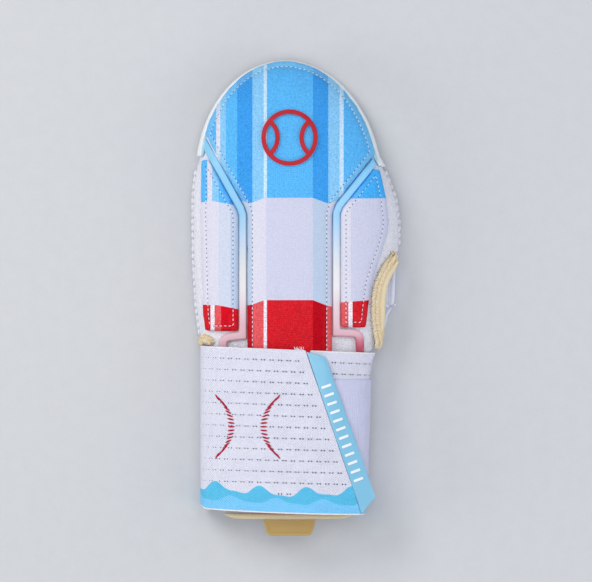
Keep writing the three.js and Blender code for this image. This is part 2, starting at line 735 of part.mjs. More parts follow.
function loopPatch() {
  const near = STRAP_THICK / 2 + FIT_GAP;
  const line = steps(PATCH.startAngle, PATCH.endAngle, STRAP_ANGLE_STEP / 1.5).map((degrees) => loopPoint(degrees, 0));
  const faces = bandFaces(line, near, near + PATCH_THICK);
  const rows = (face) => [PATCH.topY, PATCH.lowY].map((y) => face.map((p) => [p.x, y, p.y]));
  return wallBetween(rows(faces.inner), rows(faces.outer));
}

// Moulded tab along the strap's slanting end
const STRAP_TAB = { topWidth: 11.8, lowWidth: 12.4, thick: 2.2, pointLength: 0.1, columns: 4 };

function strapTab() {
  const rows = [...steps(0.01, 1 - STRAP_TAB.pointLength, 0.12), 1 - STRAP_TAB.pointLength / 2, 1];
  const low = [];
  const high = [];
  for (const v of rows) {
    const start = strapEndX(v) + FIT_GAP;
    const full = THREE.MathUtils.lerp(STRAP_TAB.topWidth, STRAP_TAB.lowWidth, v);
    const width = full * THREE.MathUtils.clamp((1 - v) / STRAP_TAB.pointLength, 0.08, 1);
    const xs = spread(start, start + width, STRAP_TAB.columns);
    const y = (x) => strapY(start, v) - 0.28 * (x - start) * (1 - v);
    low.push(xs.map((x) => [x, y(x), closingZ(x) - STRAP_THICK / 2]));
    high.push(xs.map((x) => [x, y(x), closingZ(x) - STRAP_THICK / 2 + STRAP_TAB.thick]));
  }
  return wallBetween(low, high);
}

// Raised badge on the centre pad: a plain ball with two curved seams
const BADGE = { x: -4, y: 99, radius: 17.5, line: 2.8, height: 1.4, seamOffset: 20.5, seamRadius: 14.5 };
const BADGE_SEGMENTS = 20;

function ringShape(x, y, outer, inner) {
  const shape = new THREE.Shape();
  shape.absarc(x, y, outer, 0, 2 * Math.PI, false);
  const hole = new THREE.Path();
  hole.absarc(x, y, inner, 0, 2 * Math.PI, true);
  shape.holes.push(hole);
  return shape;
}

function badge() {
  const flat = { depth: BADGE.height, bevelEnabled: false, curveSegments: BADGE_SEGMENTS };
  const extruded = (shape) => solidOf(new THREE.ExtrudeGeometry(shape, flat));
  const disc = new THREE.Shape();
  disc.absarc(BADGE.x, BADGE.y, BADGE.radius - BADGE.line / 2, 0, 2 * Math.PI, false);
  let solid = extruded(ringShape(BADGE.x, BADGE.y, BADGE.radius, BADGE.radius - BADGE.line));
  for (const side of [-1, 1]) {
    const x = BADGE.x + side * BADGE.seamOffset;
    const seam = ringShape(x, BADGE.y, BADGE.seamRadius, BADGE.seamRadius - BADGE.line);
    solid = solid.add(extruded(seam).intersect(extruded(disc)));
  }
  const geometry = geometryFrom(solid);
  const position = geometry.getAttribute("position");
  for (let i = 0; i < position.count; i++) {
    const base = padLow(position.getX(i), position.getY(i)) + CENTRE_PAD_THICK + FIT_GAP;
    position.setZ(i, position.getZ(i) + base);
  }
  return geometry;
}

const group = new THREE.Group();
const KNIT_WHITE = { color: 0xe4e5ee, roughness: 0.9 };
const PRINT_BLUE = { color: 0x5fb2ea, roughness: 0.8 };
const MOULDED_BLUE = { color: 0x8fcbee, roughness: 0.45 };
const MOULDED_WHITE = { color: 0xeef4f6, roughness: 0.5 };
const CREAM = { color: 0xe4d0a0, roughness: 0.75 };
const TAN = { color: 0xc9b27e, roughness: 0.6 };
const PILE_WHITE = { color: 0xd5d9ee, roughness: 1 };
const RED = { color: 0xb81f33, roughness: 0.5 };

function add(name, geometry, look) {
  const mesh = new THREE.Mesh(facingOut(geometry), new THREE.MeshStandardMaterial({ ...look, metalness: 0 }));
  mesh.name = name;
  group.add(mesh);
}

add("palm_panel", palmPanel(), KNIT_WHITE);
add("back_shell", backShell(), KNIT_WHITE);
add("centre_pad", centrePad(), PRINT_BLUE);
add("outer_pad", sidePad(OUTER_PAD, besidePiping(OUTER_PIPING, -1), 1), PRINT_BLUE);
add("thumb_pad", sidePad(THUMB_PAD, besidePiping(THUMB_PIPING, 1), -1), PRINT_BLUE);
add("outer_piping", piping(OUTER_PIPING), MOULDED_BLUE);
add("thumb_piping", piping(THUMB_PIPING), MOULDED_BLUE);
add("fingertip_guard", fingertipGuard(), MOULDED_WHITE);
add("thumb_binding", binding(THUMB_EDGE, 0.175, 0.715, -1, 1), CREAM);
add("outer_binding", binding(OUTER_EDGE, 0.215, 0.29, 1, 0.45), CREAM);
add("rim_binding", rimBinding(), TAN);
add("pull_tab", pullTab(), TAN);
add("wrist_strap", wristStrap(), KNIT_WHITE);
add("loop_patch", loopPatch(), PILE_WHITE);
add("strap_tab", strapTab(), MOULDED_BLUE);
add("badge", badge(), RED);

// The origin lies under the middle of the whole part.
const box = new THREE.Box3().setFromObject(group);
const middle = box.getCenter(new THREE.Vector3());
group.position.set(-middle.x, -middle.y, -box.min.z);

export default group;
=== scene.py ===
"""Sliding mitt: knit, printed pads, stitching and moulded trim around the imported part."""

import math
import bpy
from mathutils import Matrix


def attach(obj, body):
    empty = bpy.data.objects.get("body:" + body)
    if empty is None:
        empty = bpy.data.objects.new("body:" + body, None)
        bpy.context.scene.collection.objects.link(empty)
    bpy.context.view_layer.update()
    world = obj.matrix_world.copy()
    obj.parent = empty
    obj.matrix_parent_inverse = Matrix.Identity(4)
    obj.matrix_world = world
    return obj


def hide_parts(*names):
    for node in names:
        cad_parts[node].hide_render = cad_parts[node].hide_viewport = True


bl_info = {
    "name": "Sliding mitt",
    "version": (1, 0, 0),
    "blender": (4, 5, 0),
    "location": "View3D > Sidebar > Mitt",
    "description": "Dresses the packed sliding mitt in knit, printed pads, stitching and moulded trim",
    "category": "Object",
}

import bmesh
import bpy
import numpy as np
from bpy.props import FloatProperty, FloatVectorProperty, IntProperty, PointerProperty
from mathutils import Matrix, Vector
from mathutils.bvhtree import BVHTree

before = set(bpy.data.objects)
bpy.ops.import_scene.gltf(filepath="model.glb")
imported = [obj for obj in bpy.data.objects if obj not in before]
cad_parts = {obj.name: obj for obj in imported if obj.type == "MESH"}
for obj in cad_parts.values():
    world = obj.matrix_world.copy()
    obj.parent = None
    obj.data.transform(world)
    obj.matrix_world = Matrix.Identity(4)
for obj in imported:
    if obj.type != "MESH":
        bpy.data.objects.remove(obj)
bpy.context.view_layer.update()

MM = 0.001
WELD = 1e-5
BODY = "root"
UP = Vector((0, 0, 1))
SEED = 11
CHUNK = 4000
TINY = 1e-9
TOP_FACE = 0.9
BEVEL_FROM = 40
CORNER_CUTS = 2
LINE_STEP = 0.25
PLAN_FACING = 0.08
OUTLINE_STEP = 0.5
INSET_TRUE = 0.985


def linear(red, green, blue):
    """A colour in steps of 0 to 255 as the linear values that shaders use."""

    def one(step):
        share = step / 255
        return share / 12.92 if share <= 0.04045 else ((share + 0.055) / 1.055) ** 2.4

    return one(red), one(green), one(blue)


def size(name, description, millimetres):
    return FloatProperty(
        name=name, description=description, default=millimetres * MM, min=0, unit="LENGTH", subtype="DISTANCE"
    )


def tint(name, description, *steps):
    return FloatVectorProperty(
        name=name, description=description, default=linear(*steps), size=3, min=0, max=1, subtype="COLOR"
    )


class MittSizes(bpy.types.PropertyGroup):
    """Sizes of the sewing, the padding and the openwork"""

    stitch_pitch: size("Stitch pitch", "From one stitch of the pads to the next", 2.8)
    stitch_length: size("Stitch length", "Length of thread that shows", 1.8)
    stitch_thread: size("Stitch thread", "Thickness of the sewing thread", 0.48)
    stitch_inset: size("Stitch inset", "From a pad's outline to its stitch row", 3.0)
    groove_depth: size("Groove depth", "How far a stitch row pulls the pad down", 0.4)
    groove_width: size("Groove width", "Half width of the channel along a stitch row", 1.2)
    pad_voxel: size("Pad voxel", "Mesh size of the centre pad while it swells", 1.5)
    side_voxel: size("Side pad voxel", "Mesh size of a side pad while it swells", 0.95)
    pad_swell: size("Pad swell", "Most that a point of a pad may move as it swells", 0.7)
    pad_growth: size("Pad growth", "How far a pad's sides stand out towards the piping", 0.4)
    shell_voxel: size("Shell voxel", "Mesh size of the knit shell and the palm", 1.25)
    scallop_pitch: size("Scallop pitch", "From one overlock loop of the side seams to the next", 4.3)
    scallop_height: size("Scallop height", "How far the knit stands out between the loops", 1.2)
    hole_pitch: size("Hole pitch", "From one pair of strap holes to the next", 5.3)
    hole_gap: size("Hole gap", "Between the two holes of a pair", 1.8)
    hole_row: size("Hole rows", "From one row of strap holes to the next", 6.93)
    hole_radius: size("Hole radius", "Radius of a strap hole with its rim", 0.66)
    rib_count: IntProperty(name="Grip ribs", description="Raised ribs on the strap's tab", default=12, min=2)


class MittColours(bpy.types.PropertyGroup):
    """Colours of the cloth, the print and the moulded trim"""

    knit: tint("Knit", "White knit of the shell", 231, 232, 242)
    palm: tint("Palm", "White knit of the palm", 230, 234, 255)
    mid_blue: tint("Mid blue", "Main blue of the print", 91, 183, 247)
    deep_blue: tint("Deep blue", "Dark blue stripes", 61, 156, 235)
    thumb_blue: tint("Thumb blue", "Clear blue of the thumb pad", 71, 178, 250)
    light_blue: tint("Light blue", "Light blue stripes", 136, 200, 246)
    ice_white: tint("Ice white", "White stripes in the blue", 200, 228, 253)
    stripe_white: tint("Stripe white", "White stripes in the red", 234, 228, 240)
    rose_white: tint("Rose white", "Pinkish stripes", 220, 219, 236)
    # Painted highlight: this pale colour, on a roll along the outer piping's upper edge, stands for the
    # bright edge there.
    lip: tint("Piping lip", "Painted highlight along the outer piping's upper edge", 228, 222, 232)
    lilac_white: tint("Lilac white", "Main white of the print", 207, 209, 232)
    cool_white: tint("Cool white", "Cooler white of the outer pad", 207, 215, 234)
    pale_blue: tint("Pale blue", "Pale blue stripes in the white", 186, 203, 228)
    red: tint("Red", "Main red of the print", 212, 30, 42)
    dark_red: tint("Dark red", "Dark red stripes", 184, 4, 25)
    bright_red: tint("Bright red", "Clear red of the outer pad", 212, 10, 32)
    light_red: tint("Light red", "Light red stripes", 226, 89, 94)
    margin: tint("Margin", "Edge of the centre pad outside its stitches", 150, 210, 240)
    thread: tint("Thread", "Sewing thread", 238, 240, 247)
    thread_blue: tint("Blue thread", "Sewing thread of the blue bands", 208, 229, 250)
    needle_hole: tint("Needle hole", "Shadow where the needle went in", 62, 72, 106)
    guard: tint("Guard", "Moulded rim round the fingertips", 240, 245, 247)
    # The pale cyan inner band is partly the rim's own tone and partly painted shade in the gap beside the
    # pad.
    guard_inner: tint("Guard inside", "Inner band of that rim, partly painted shade", 172, 214, 232)
    cream: tint("Cream", "Rolled edge of the bindings", 227, 212, 180)
    cream_light: tint("Braid", "Braided tape on the bindings", 240, 225, 195)
    # The darker cream is partly the tape's own tone and partly painted shade between the braid's threads.
    cream_dark: tint("Cream shade", "Ground under the braided tape, partly painted shade", 226, 204, 160)
    rim_tan: tint("Rim tan", "Rim of the wrist tongue", 225, 208, 172)
    tab_tan: tint("Tab tan", "Pull tab", 180, 150, 88)
    strap: tint("Strap", "Perforated elastic", 222, 223, 239)
    # Painted shade: the dark floor of each strap hole stands for the shadow inside it.
    strap_hole: tint("Strap hole", "Painted shade inside the holes", 40, 44, 70)
    strap_edge: tint("Strap edge", "Hem of the strap", 240, 240, 246)
    wave_dark: tint("Wave", "Upper wave of the strap's border", 93, 194, 236)
    wave_light: tint("Light wave", "Lower wave of the strap's border", 125, 204, 252)
    motif: tint("Ball seam", "Red sewing on the strap", 176, 6, 58)
    pile: tint("Pile", "Loop pile under the tab", 224, 226, 255)
    tab_blue: tint("Tab blue", "Moulded tab at the strap's end", 122, 190, 223)
    tab_rib: tint("Tab ribs", "Grip ribs on that tab", 240, 246, 250)
    badge: tint("Badge", "Raised ball badge", 182, 28, 44)
    floor: tint("Floor", "Studio floor", 205, 207, 211)


def sizes():
    return bpy.context.scene.mitt_sizes


def colours():
    return bpy.context.scene.mitt_colours


def rgba(colour):
    return (*colour, 1.0)


def deselect():
    """Leaves edit mode and selects nothing."""
    active = bpy.context.view_layer.objects.active
    if active and active.mode != "OBJECT":
        bpy.ops.object.mode_set(mode="OBJECT")
    bpy.ops.object.select_all(action="DESELECT")


def focus(piece):
    deselect()
    piece.select_set(True)
    bpy.context.view_layer.objects.active = piece


def edit(piece):
    focus(piece)
    bpy.ops.object.mode_set(mode="EDIT")
    bpy.ops.mesh.select_all(action="SELECT")


def leave_edit():
    bpy.ops.object.mode_set(mode="OBJECT")


def apply_modifier(piece, kind, **settings):
    focus(piece)
    modifier = piece.modifiers.new(kind.title(), kind)
    for key, value in settings.items():
        setattr(modifier, key, value)
    bpy.ops.object.modifier_apply(modifier=modifier.name)


def subdivide(piece, levels):
    apply_modifier(piece, "SUBSURF", levels=levels, render_levels=levels)


def copy_of(node, name):
    """A new piece from a CAD node's mesh, with its corners merged and its triangles paired up."""
    piece = bpy.data.objects.new(name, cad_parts[node].data.copy())
    piece.data.name = name
    piece.data.materials.clear()
    bpy.context.scene.collection.objects.link(piece)
    focus(piece)
    bpy.ops.mesh.customdata_custom_splitnormals_clear()
    edit(piece)
    bpy.ops.mesh.remove_doubles(threshold=WELD)
    bpy.ops.mesh.tris_convert_to_quads(face_threshold=math.radians(30), shape_threshold=math.radians(70))
    bpy.ops.mesh.mark_sharp(clear=True)
    leave_edit()
    return piece


def new_piece(name):
    """Names the piece that was just made."""
    piece = bpy.context.object
    piece.name = name
    piece.data.name = name
    return piece


def vectors_of(items, key):
    flat = np.empty(len(items) * 3, np.float32)
    items.foreach_get(key, flat)
    return flat.reshape(-1, 3).astype(float)


def points_of(piece):
    return vectors_of(piece.data.vertices, "co")


def normals_of(piece):
    return vectors_of(piece.data.vertex_normals, "vector")


def move_points(piece, points):
    piece.data.vertices.foreach_set("co", np.ascontiguousarray(points, np.float32).ravel())
    piece.data.update()


def faces_of(piece):
    return [tuple(face.vertices) for face in piece.data.polygons]


def tree_of(*pieces):
    """A search tree over the meshes of some pieces."""
    points, faces = [], []
    for piece in pieces:
        first = len(points)
        points.extend(Vector(p) for p in points_of(piece))
        faces.extend(tuple(first + i for i in face) for face in faces_of(piece))
    return BVHTree.FromPolygons(points, faces)


def write_attribute(piece, name, values):
    layer = piece.data.attributes.new(name, "FLOAT", "POINT")
    layer.data.foreach_set("value", np.ascontiguousarray(values, np.float32))


EDGE_GAIN = 2.5


def mark_edges(piece):
    """Keeps how far each point stands out from its neighbours, for wear along edges."""
    points, normals = points_of(piece), normals_of(piece)
    ends = np.empty(len(piece.data.edges) * 2, np.int32)
    piece.data.edges.foreach_get("vertices", ends)
    first, second = ends.reshape(-1, 2).T
    total, count, reach = np.zeros_like(points), np.zeros(len(points)), np.zeros(len(points))
    length = np.linalg.norm(points[first] - points[second], axis=1)
    for here, there in ((first, second), (second, first)):
        np.add.at(total, here, points[there])
        np.add.at(count, here, 1)
        np.add.at(reach, here, length)
    count = np.maximum(count, 1)
    stand = np.sum(normals * (points - total / count[:, None]), axis=1) / np.maximum(reach / count, TINY)
    write_attribute(piece, "edge", np.clip(stand * EDGE_GAIN, 0, 1))


def smooth(piece, degrees=None):
    focus(piece)
    if degrees is None:
        bpy.ops.object.shade_smooth()
    else:
        bpy.ops.object.shade_smooth_by_angle(angle=math.radians(degrees))


def dress(piece, *materials):
    piece.data.materials.clear()
    for material in materials:
        piece.data.materials.append(material)


def fit(piece, material=None, node=None, worn=True):
    """Ties a finished piece to the frame, with its material and with the marks for wear along its edges."""
    if worn:
        mark_edges(piece)
    if material:
        dress(piece, material)
    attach(piece, BODY)
    if node:
        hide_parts(node)


def fade(value, start, run, least=0):
    """Nought up to a start, rising to one over a run. A negative run falls back from the start."""
    return np.clip((value - start) / run, least, 1)


def bell(distance, width):
    """One on a line, falling off to both sides of it."""
    return np.exp(-((distance / width) ** 2))


def wander(points, pitch, seed=0.0):
    """A smooth made-up ripple between -1 and 1 that is the same each run."""
    turn = 2 * math.pi / (pitch * MM)
    x, y, z = points.T
    first = np.sin(turn * (x + 0.6 * y) + seed) * np.cos(turn * (0.8 * y - 0.5 * z) + 1.7 * seed)
    second = np.sin(turn * 1.9 * (0.7 * y - x) + 2.3 * seed + 1) * np.cos(turn * 1.6 * (z + 0.3 * x) + seed)
    return 0.65 * first + 0.35 * second


def seat(place, along, up):
    """The frame of a small shape at a place: its own X runs along, its own Z points up."""
    z = Vector(up).normalized()
    y = z.cross(Vector(along)).normalized()
    x = y.cross(z)
    matrix = Matrix((x, y, z)).transposed().to_4x4()
    matrix.translation = Vector(place)
    return matrix


def scatter(template, seats, name):
    """One mesh with a copy of the template at each seat. The template goes."""
    if not seats:
        raise RuntimeError(f"{name}: there is nowhere to put a copy")
    points, faces = points_of(template), faces_of(template)
    count = len(points)
    shape = np.c_[points, np.ones(count)]
    placed = np.concatenate([(shape @ np.array(matrix).T)[:, :3] for matrix in seats])
    copies = [tuple(i * count + v for v in face) for i in range(len(seats)) for face in faces]
    mesh = bpy.data.meshes.new(name)
    mesh.from_pydata(placed, [], copies)
    for material in template.data.materials:
        mesh.materials.append(material)
    kinds = [face.material_index for face in template.data.polygons]
    mesh.polygons.foreach_set("material_index", kinds * len(seats))
    piece = bpy.data.objects.new(name, mesh)
    bpy.context.scene.collection.objects.link(piece)
    bpy.data.objects.remove(template)
    smooth(piece, 50)
    return piece


def pellet(name, segments, rings, extents, lying=False):
    """A ball drawn out to its extents, as a template. A lying one has its poles on its own X."""
    deselect()
    bpy.ops.mesh.primitive_uv_sphere_add(segments=segments, ring_count=rings, radius=0.5)
    ball = new_piece(name)
    edit(ball)
    if lying:
        bpy.ops.transform.rotate(value=math.pi / 2, orient_axis="Y", center_override=(0, 0, 0))
    bpy.ops.transform.resize(value=extents)
    leave_edit()
    return ball


def thread_dash(length, thickness):
    """A short run of thread that dives into the cloth at both ends. Sizes are in millimetres."""
    return pellet("thread_dash", 6, 6, (length * MM, thickness * MM, thickness * MM), lying=True)


def flat_bead(width, height):
    """A low round spot, for the painted shadow in a needle hole. Sizes are in millimetres."""
    return pellet("flat_bead", 8, 4, (width * MM, width * MM, height * MM))


def sink_top(piece, border, slope, depth):
    """Sinks the middle of a piece's top, which leaves a border. The piece is in edit mode."""
    bm = bmesh.from_edit_mesh(piece.data)
    for face in bm.faces:
        face.select_set(face.normal.z > TOP_FACE)
    bmesh.update_edit_mesh(piece.data)
    bpy.ops.mesh.inset(thickness=border, depth=0)
    bpy.ops.mesh.inset(thickness=slope, depth=-depth)


def round_edges(piece, width, segments=3):
    """Bevels the sharp edges of a moulded piece. The width is in millimetres."""
    apply_modifier(
        piece, "BEVEL", width=width * MM, segments=segments, limit_method="ANGLE",
        angle_limit=math.radians(BEVEL_FROM),
    )
    smooth(piece, 35)


def remesh(piece, voxel, rounds):
    """An even mesh over a piece, with its steps smoothed out."""
    apply_modifier(piece, "REMESH", mode="VOXEL", voxel_size=voxel)
    apply_modifier(piece, "SMOOTH", factor=0.5, iterations=rounds)


def topmost(tree, x, y):
    """The point and the normal of what lies highest at a place in plan, or None twice."""
    return tree.ray_cast(Vector((x, y, 1)), -UP)[:2]


def joined(name, *pieces):
    deselect()
    for piece in pieces:
        piece.select_set(True)
    bpy.context.view_layer.objects.active = pieces[0]
    bpy.ops.object.join()
    return new_piece(name)


def lengths(line):
    """How far along a line each of its points lies."""
    return np.r_[0, np.cumsum(np.linalg.norm(np.diff(line, axis=0), axis=1))]


def even_line(points, step, closed=False):
    """The same line with its points a step apart."""
    line = np.array(points, float)
    if closed:
        line = np.vstack([line, line[:1]])
    run = lengths(line)
    count = max(2, int(round(run[-1] / step)))
    at = np.linspace(0, run[-1], count + 1)
    even = np.column_stack([np.interp(at, run, column) for column in line.T])
    return even[:-1] if closed else even


def rounded_line(course, step):
    """A line with its corners cut off a few times, its points a step apart. It is given in millimetres."""
    line = np.array(course) * MM
    for _ in range(CORNER_CUTS):
        near = 0.75 * line[:-1] + 0.25 * line[1:]
        far = 0.25 * line[:-1] + 0.75 * line[1:]
        middle = np.stack([near, far], axis=1).reshape(-1, line.shape[1])
        line = np.vstack([line[:1], middle, line[-1:]])
    return even_line(line, step * MM)


def directions(line, closed=False):
    if closed:
        run = np.roll(line, -1, axis=0) - np.roll(line, 1, axis=0)
    else:
        run = np.gradient(line, axis=0)
    return run / np.linalg.norm(run, axis=1, keepdims=True)


def nearest_of(points, line):
    """The number of the line's closest point for each point, in two dimensions."""
    found = np.empty(len(points), int)
    for start in range(0, len(points), CHUNK):
        gap = points[start : start + CHUNK, None] - line[None]
        found[start : start + CHUNK] = np.argmin(np.sum(gap * gap, axis=2), axis=1)
    return found


def nearest_distance(points, line):
    """Distance in plan from each point to the closest point of a dense line."""
    flat = points[:, :2]
    return np.linalg.norm(flat - line[nearest_of(flat, line)], axis=1)


def chains_of(edges):
    """The vertices of a set of edges as closed loops, in order."""
    beside = {}
    for edge in edges:
        for vertex in edge.verts:
            beside.setdefault(vertex, []).append(edge.other_vert(vertex))
    loops, left = [], dict.fromkeys(beside)
    while left:
        start = next(iter(left))
        del left[start]
        loop, last = [start], None
        while True:
            onward = [v for v in beside[loop[-1]] if v is not last and (v in left or v is start)]
            if not onward or onward[0] is start:
                break
            last = loop[-1]
            loop.append(onward[0])
            del left[onward[0]]
        loops.append(loop)
    return loops


def loop_round(bm, way, least):
    """The longest loop round the faces that look a way, in order."""
    chosen = {face for face in bm.faces if face.normal.dot(way) > least}
    return max(chains_of([e for e in bm.edges if sum(f in chosen for f in e.link_faces) == 1]), key=len)


def plan_outline(piece):
    """The outline of a solid seen from above, as evenly spaced points."""
    bm = bmesh.new()
    bm.from_mesh(piece.data)
    outline = np.array([vertex.co[:2] for vertex in loop_round(bm, UP, PLAN_FACING)])
    bm.free()
    area = np.sum(outline[:, 0] * np.roll(outline[:, 1], -1) - outline[:, 1] * np.roll(outline[:, 0], -1))
    if area < 0:
        outline = outline[::-1]
    return even_line(outline, OUTLINE_STEP * MM, closed=True)


def inset_line(outline, inset):
    """A line that keeps a fixed distance inside an outline."""
    along = directions(outline, closed=True)
    inward = np.column_stack([-along[:, 1], along[:, 0]])
    line = outline + inset * inward
    line = line[nearest_distance(line, outline) > INSET_TRUE * inset]
    return even_line(line, OUTLINE_STEP * MM, closed=True)


KNIT_NOISES = ((2600.0, 3.0), (90.0, 3.0), (850.0, 2.0))
BROAD_GRAIN = 120.0
RUB_SPOTS = 260.0
KNIT_ROUGHNESS, ROUGH_SPREAD = 0.88, 0.12
SHADE_MIDDLE = 0.55
KNIT_RUB = (0.18, linear(196, 190, 184))


class Nodes:
    """Adds nodes to a tree, and takes plain numbers where a socket could be."""

    def __init__(self, tree):
        self.tree = tree
        tree.nodes.clear()

    def add(self, kind, **settings):
        node = self.tree.nodes.new(kind)
        for key, value in settings.items():
            setattr(node, key, value)
        return node

    def feed(self, socket, value):
        if isinstance(value, bpy.types.NodeSocket):
            self.tree.links.new(value, socket)
        else:
            socket.default_value = value

    def math(self, operation, *values, clamp=False):
        node = self.add("ShaderNodeMath", operation=operation, use_clamp=clamp)
        for socket, value in zip(node.inputs, values):
            self.feed(socket, value)
        return node.outputs[0]

    def times(self, first, second, clamp=False):
        return self.math("MULTIPLY", first, second, clamp=clamp)

    def scaled(self, value, factor, shift, clamp=False):
        """A value times a factor, plus a shift."""
        return self.math("MULTIPLY_ADD", value, factor, shift, clamp=clamp)

    def mix(self, share, first, second, blend="MIX"):
        node = self.add("ShaderNodeMix", data_type="RGBA", blend_type=blend)
        for index, value in ((0, share), (6, first), (7, second)):
            self.feed(node.inputs[index], value)
        return node.outputs[2]

    def split(self, vector):
        node = self.add("ShaderNodeSeparateXYZ")
        self.feed(node.inputs[0], vector)
        return node.outputs

    def noise(self, vector, scale, detail=2.0, rough=0.5):
        node = self.add("ShaderNodeTexNoise")
        self.feed(node.inputs["Vector"], vector)
        self.feed(node.inputs["Scale"], scale)
        self.feed(node.inputs["Detail"], detail)
        self.feed(node.inputs["Roughness"], rough)
        return node.outputs["Fac"]

    def attribute(self, name):
        return self.add("ShaderNodeAttribute", attribute_name=name, attribute_type="GEOMETRY").outputs["Fac"]

    def ramp(self, share, stops, mode="LINEAR"):
        """A colour ramp; stops are pairs of a share and a colour."""
        node = self.add("ShaderNodeValToRGB")
        node.color_ramp.interpolation = mode
        elements = node.color_ramp.elements
        elements.remove(elements[1])
        for index, (place, colour) in enumerate(stops):
            element = elements[0] if index == 0 else elements.new(place)
            element.position = place
            element.color = rgba(colour)
        self.feed(node.inputs[0], share)
        return node.outputs[0]


def group_of(name, value, outputs, fill):
    """The shared group of that name. A vector and a value go in, and fill gives what comes out."""
    if name in bpy.data.node_groups:
        return bpy.data.node_groups[name]
    group = bpy.data.node_groups.new(name, "ShaderNodeTree")
    group.interface.new_socket("Vector", in_out="INPUT", socket_type="NodeSocketVector")
    group.interface.new_socket(value, in_out="INPUT", socket_type="NodeSocketFloat")
    for label in outputs:
        group.interface.new_socket(label, in_out="OUTPUT", socket_type="NodeSocketFloat")
    n = Nodes(group)
    source, sink = n.add("NodeGroupInput"), n.add("NodeGroupOutput")
    results = fill(n, source.outputs["Vector"], source.outputs[value])
    for label, result in zip(outputs, results):
        n.feed(sink.inputs[label], result)
    return group


def knit_loops(n, place, pitch):
    """Interlocked loops of thread: their height, and how the light plays on them."""
    turn = n.math("DIVIDE", 2 * math.pi, pitch)
    waves = [n.times(part, turn) for part in n.split(place)]
    pairs = zip(waves, waves[1:] + waves[:1])
    x, y, z = [n.times(n.math("SINE", a), n.math("COSINE", b)) for a, b in pairs]
    loops = n.scaled(n.math("ADD", n.math("ADD", x, y), z), 0.33, 0.5)
    fuzz, patch, yarn = [n.noise(place, scale, detail, 0.6) for scale, detail in KNIT_NOISES]
    yarn = n.scaled(yarn, 2.4, -0.7, clamp=True)
    height = n.scaled(fuzz, 0.45, loops)
    height = n.scaled(yarn, 0.35, height)
    shade = n.scaled(loops, 0.25, n.scaled(yarn, 0.55, 0.04))
    return height, n.scaled(patch, 0.12, shade, clamp=True)


def moulded_grain(n, place, scale):
    """The fine grain of moulded rubber and plastic: its height, and how the light plays on it."""
    fine = n.noise(place, scale, 2.0, 0.55)
    broad = n.noise(place, BROAD_GRAIN, 2.0, 0.5)
    return fine, n.scaled(broad, 0.55, n.times(fine, 0.5), clamp=True)


def handled_edges(n, place, edge):
    """Where hands and ground have rubbed the edges."""
    spots = n.noise(place, RUB_SPOTS, 4.0, 0.65)
    spots = n.scaled(spots, 3.0, -1.0, clamp=True)
    return [n.times(spots, edge, clamp=True)]


class Finish:
    """A material as it is put together: a paint, a surface, rubbed edges and gloss."""

    def __init__(self, name):
        self.material = bpy.data.materials.new(name)
        self.material.use_nodes = True
        self.nodes = Nodes(self.material.node_tree)
        self.place = self.nodes.add("ShaderNodeTexCoord").outputs["Object"]

    def grouped(self, name, value, amount, outputs, fill):
        """Places a shared group on the piece's own coordinates."""
        node = self.nodes.add("ShaderNodeGroup", node_tree=group_of(name, value, outputs, fill))
        self.nodes.feed(node.inputs["Vector"], self.place)
        self.nodes.feed(node.inputs[value], amount)
        return [node.outputs[label] for label in outputs]

    def knit(self, pitch):
        return self.grouped("Knit loops", "Pitch", pitch * MM, ("Height", "Shade"), knit_loops)

    def grain(self, scale):
        return self.grouped("Moulded grain", "Scale", scale, ("Height", "Shade"), moulded_grain)

    def close(self, colour, relief, roughness, depth, spread=0.14, rub=None, **fixed):
        """Joins a colour and a relief into one Principled shader. The relief is a height and a shade.

        rub is a share and a colour for worn edges, depth is in millimetres.
        """
        n = self.nodes
        height, shade = relief
        base = colour if isinstance(colour, bpy.types.NodeSocket) else rgba(colour)
        base = n.mix(1.0, base, n.scaled(shade, spread, 1 - spread * SHADE_MIDDLE), "MULTIPLY")
        if rub:
            worn = self.grouped("Handled edges", "Edge", n.attribute("edge"), ("Rub",), handled_edges)
            base = n.mix(n.times(worn[0], rub[0]), base, rgba(rub[1]))
        bump = n.add("ShaderNodeBump")
        n.feed(bump.inputs["Height"], height)
        n.feed(bump.inputs["Strength"], 1.0)
        n.feed(bump.inputs["Distance"], depth * MM)
        shader = n.add("ShaderNodeBsdfPrincipled")
        n.feed(shader.inputs["Base Color"], base)
        dull = n.scaled(shade, -ROUGH_SPREAD, roughness + ROUGH_SPREAD / 2)
        n.feed(shader.inputs["Roughness"], dull)
        n.feed(shader.inputs["Normal"], bump.outputs[0])
        for key, value in fixed.items():
            shader.inputs[key.replace("_", " ")].default_value = value
        out = n.add("ShaderNodeOutputMaterial")
        n.feed(out.inputs[0], shader.outputs[0])
        return self.material


def knit_material(name, colour, pitch=1.4, depth=0.16, rub=KNIT_RUB, **more):
    if name in bpy.data.materials:
        return bpy.data.materials[name]
    finish = Finish(name)
    more = {"Sheen_Weight": 0.08, "Specular_IOR_Level": 0.3, **more}
    return finish.close(colour, finish.knit(pitch), KNIT_ROUGHNESS, depth, rub=rub, **more)


def moulded_material(name, colour, roughness=0.45, depth=0.03, scale=2400.0, rub=None, **more):
    if name in bpy.data.materials:
        return bpy.data.materials[name]
    finish = Finish(name)
    return finish.close(colour, finish.grain(scale), roughness, depth, spread=0.1, rub=rub, **more)


PRINT_HALF = 64.0
LINE_SPAN = 80.0
LINE_SHARPNESS = 4.0
RED_SPREAD = 0.7
BLUE_SPREAD = 0.4


def across_print(n, place):
    """Share of the print's width, and the height along the mitt in millimetres."""
    x, y, _ = n.split(place)
    share = n.scaled(x, 1 / (2 * PRINT_HALF * MM), 0.5)
    return share, n.times(y, 1 / MM)


def print_share(x):
    return (x + PRINT_HALF) / (2 * PRINT_HALF)


def stripes(n, share, table):
    stops = [(print_share(x), getattr(colours(), name)) for x, name in table]
    return n.ramp(share, stops, "CONSTANT")


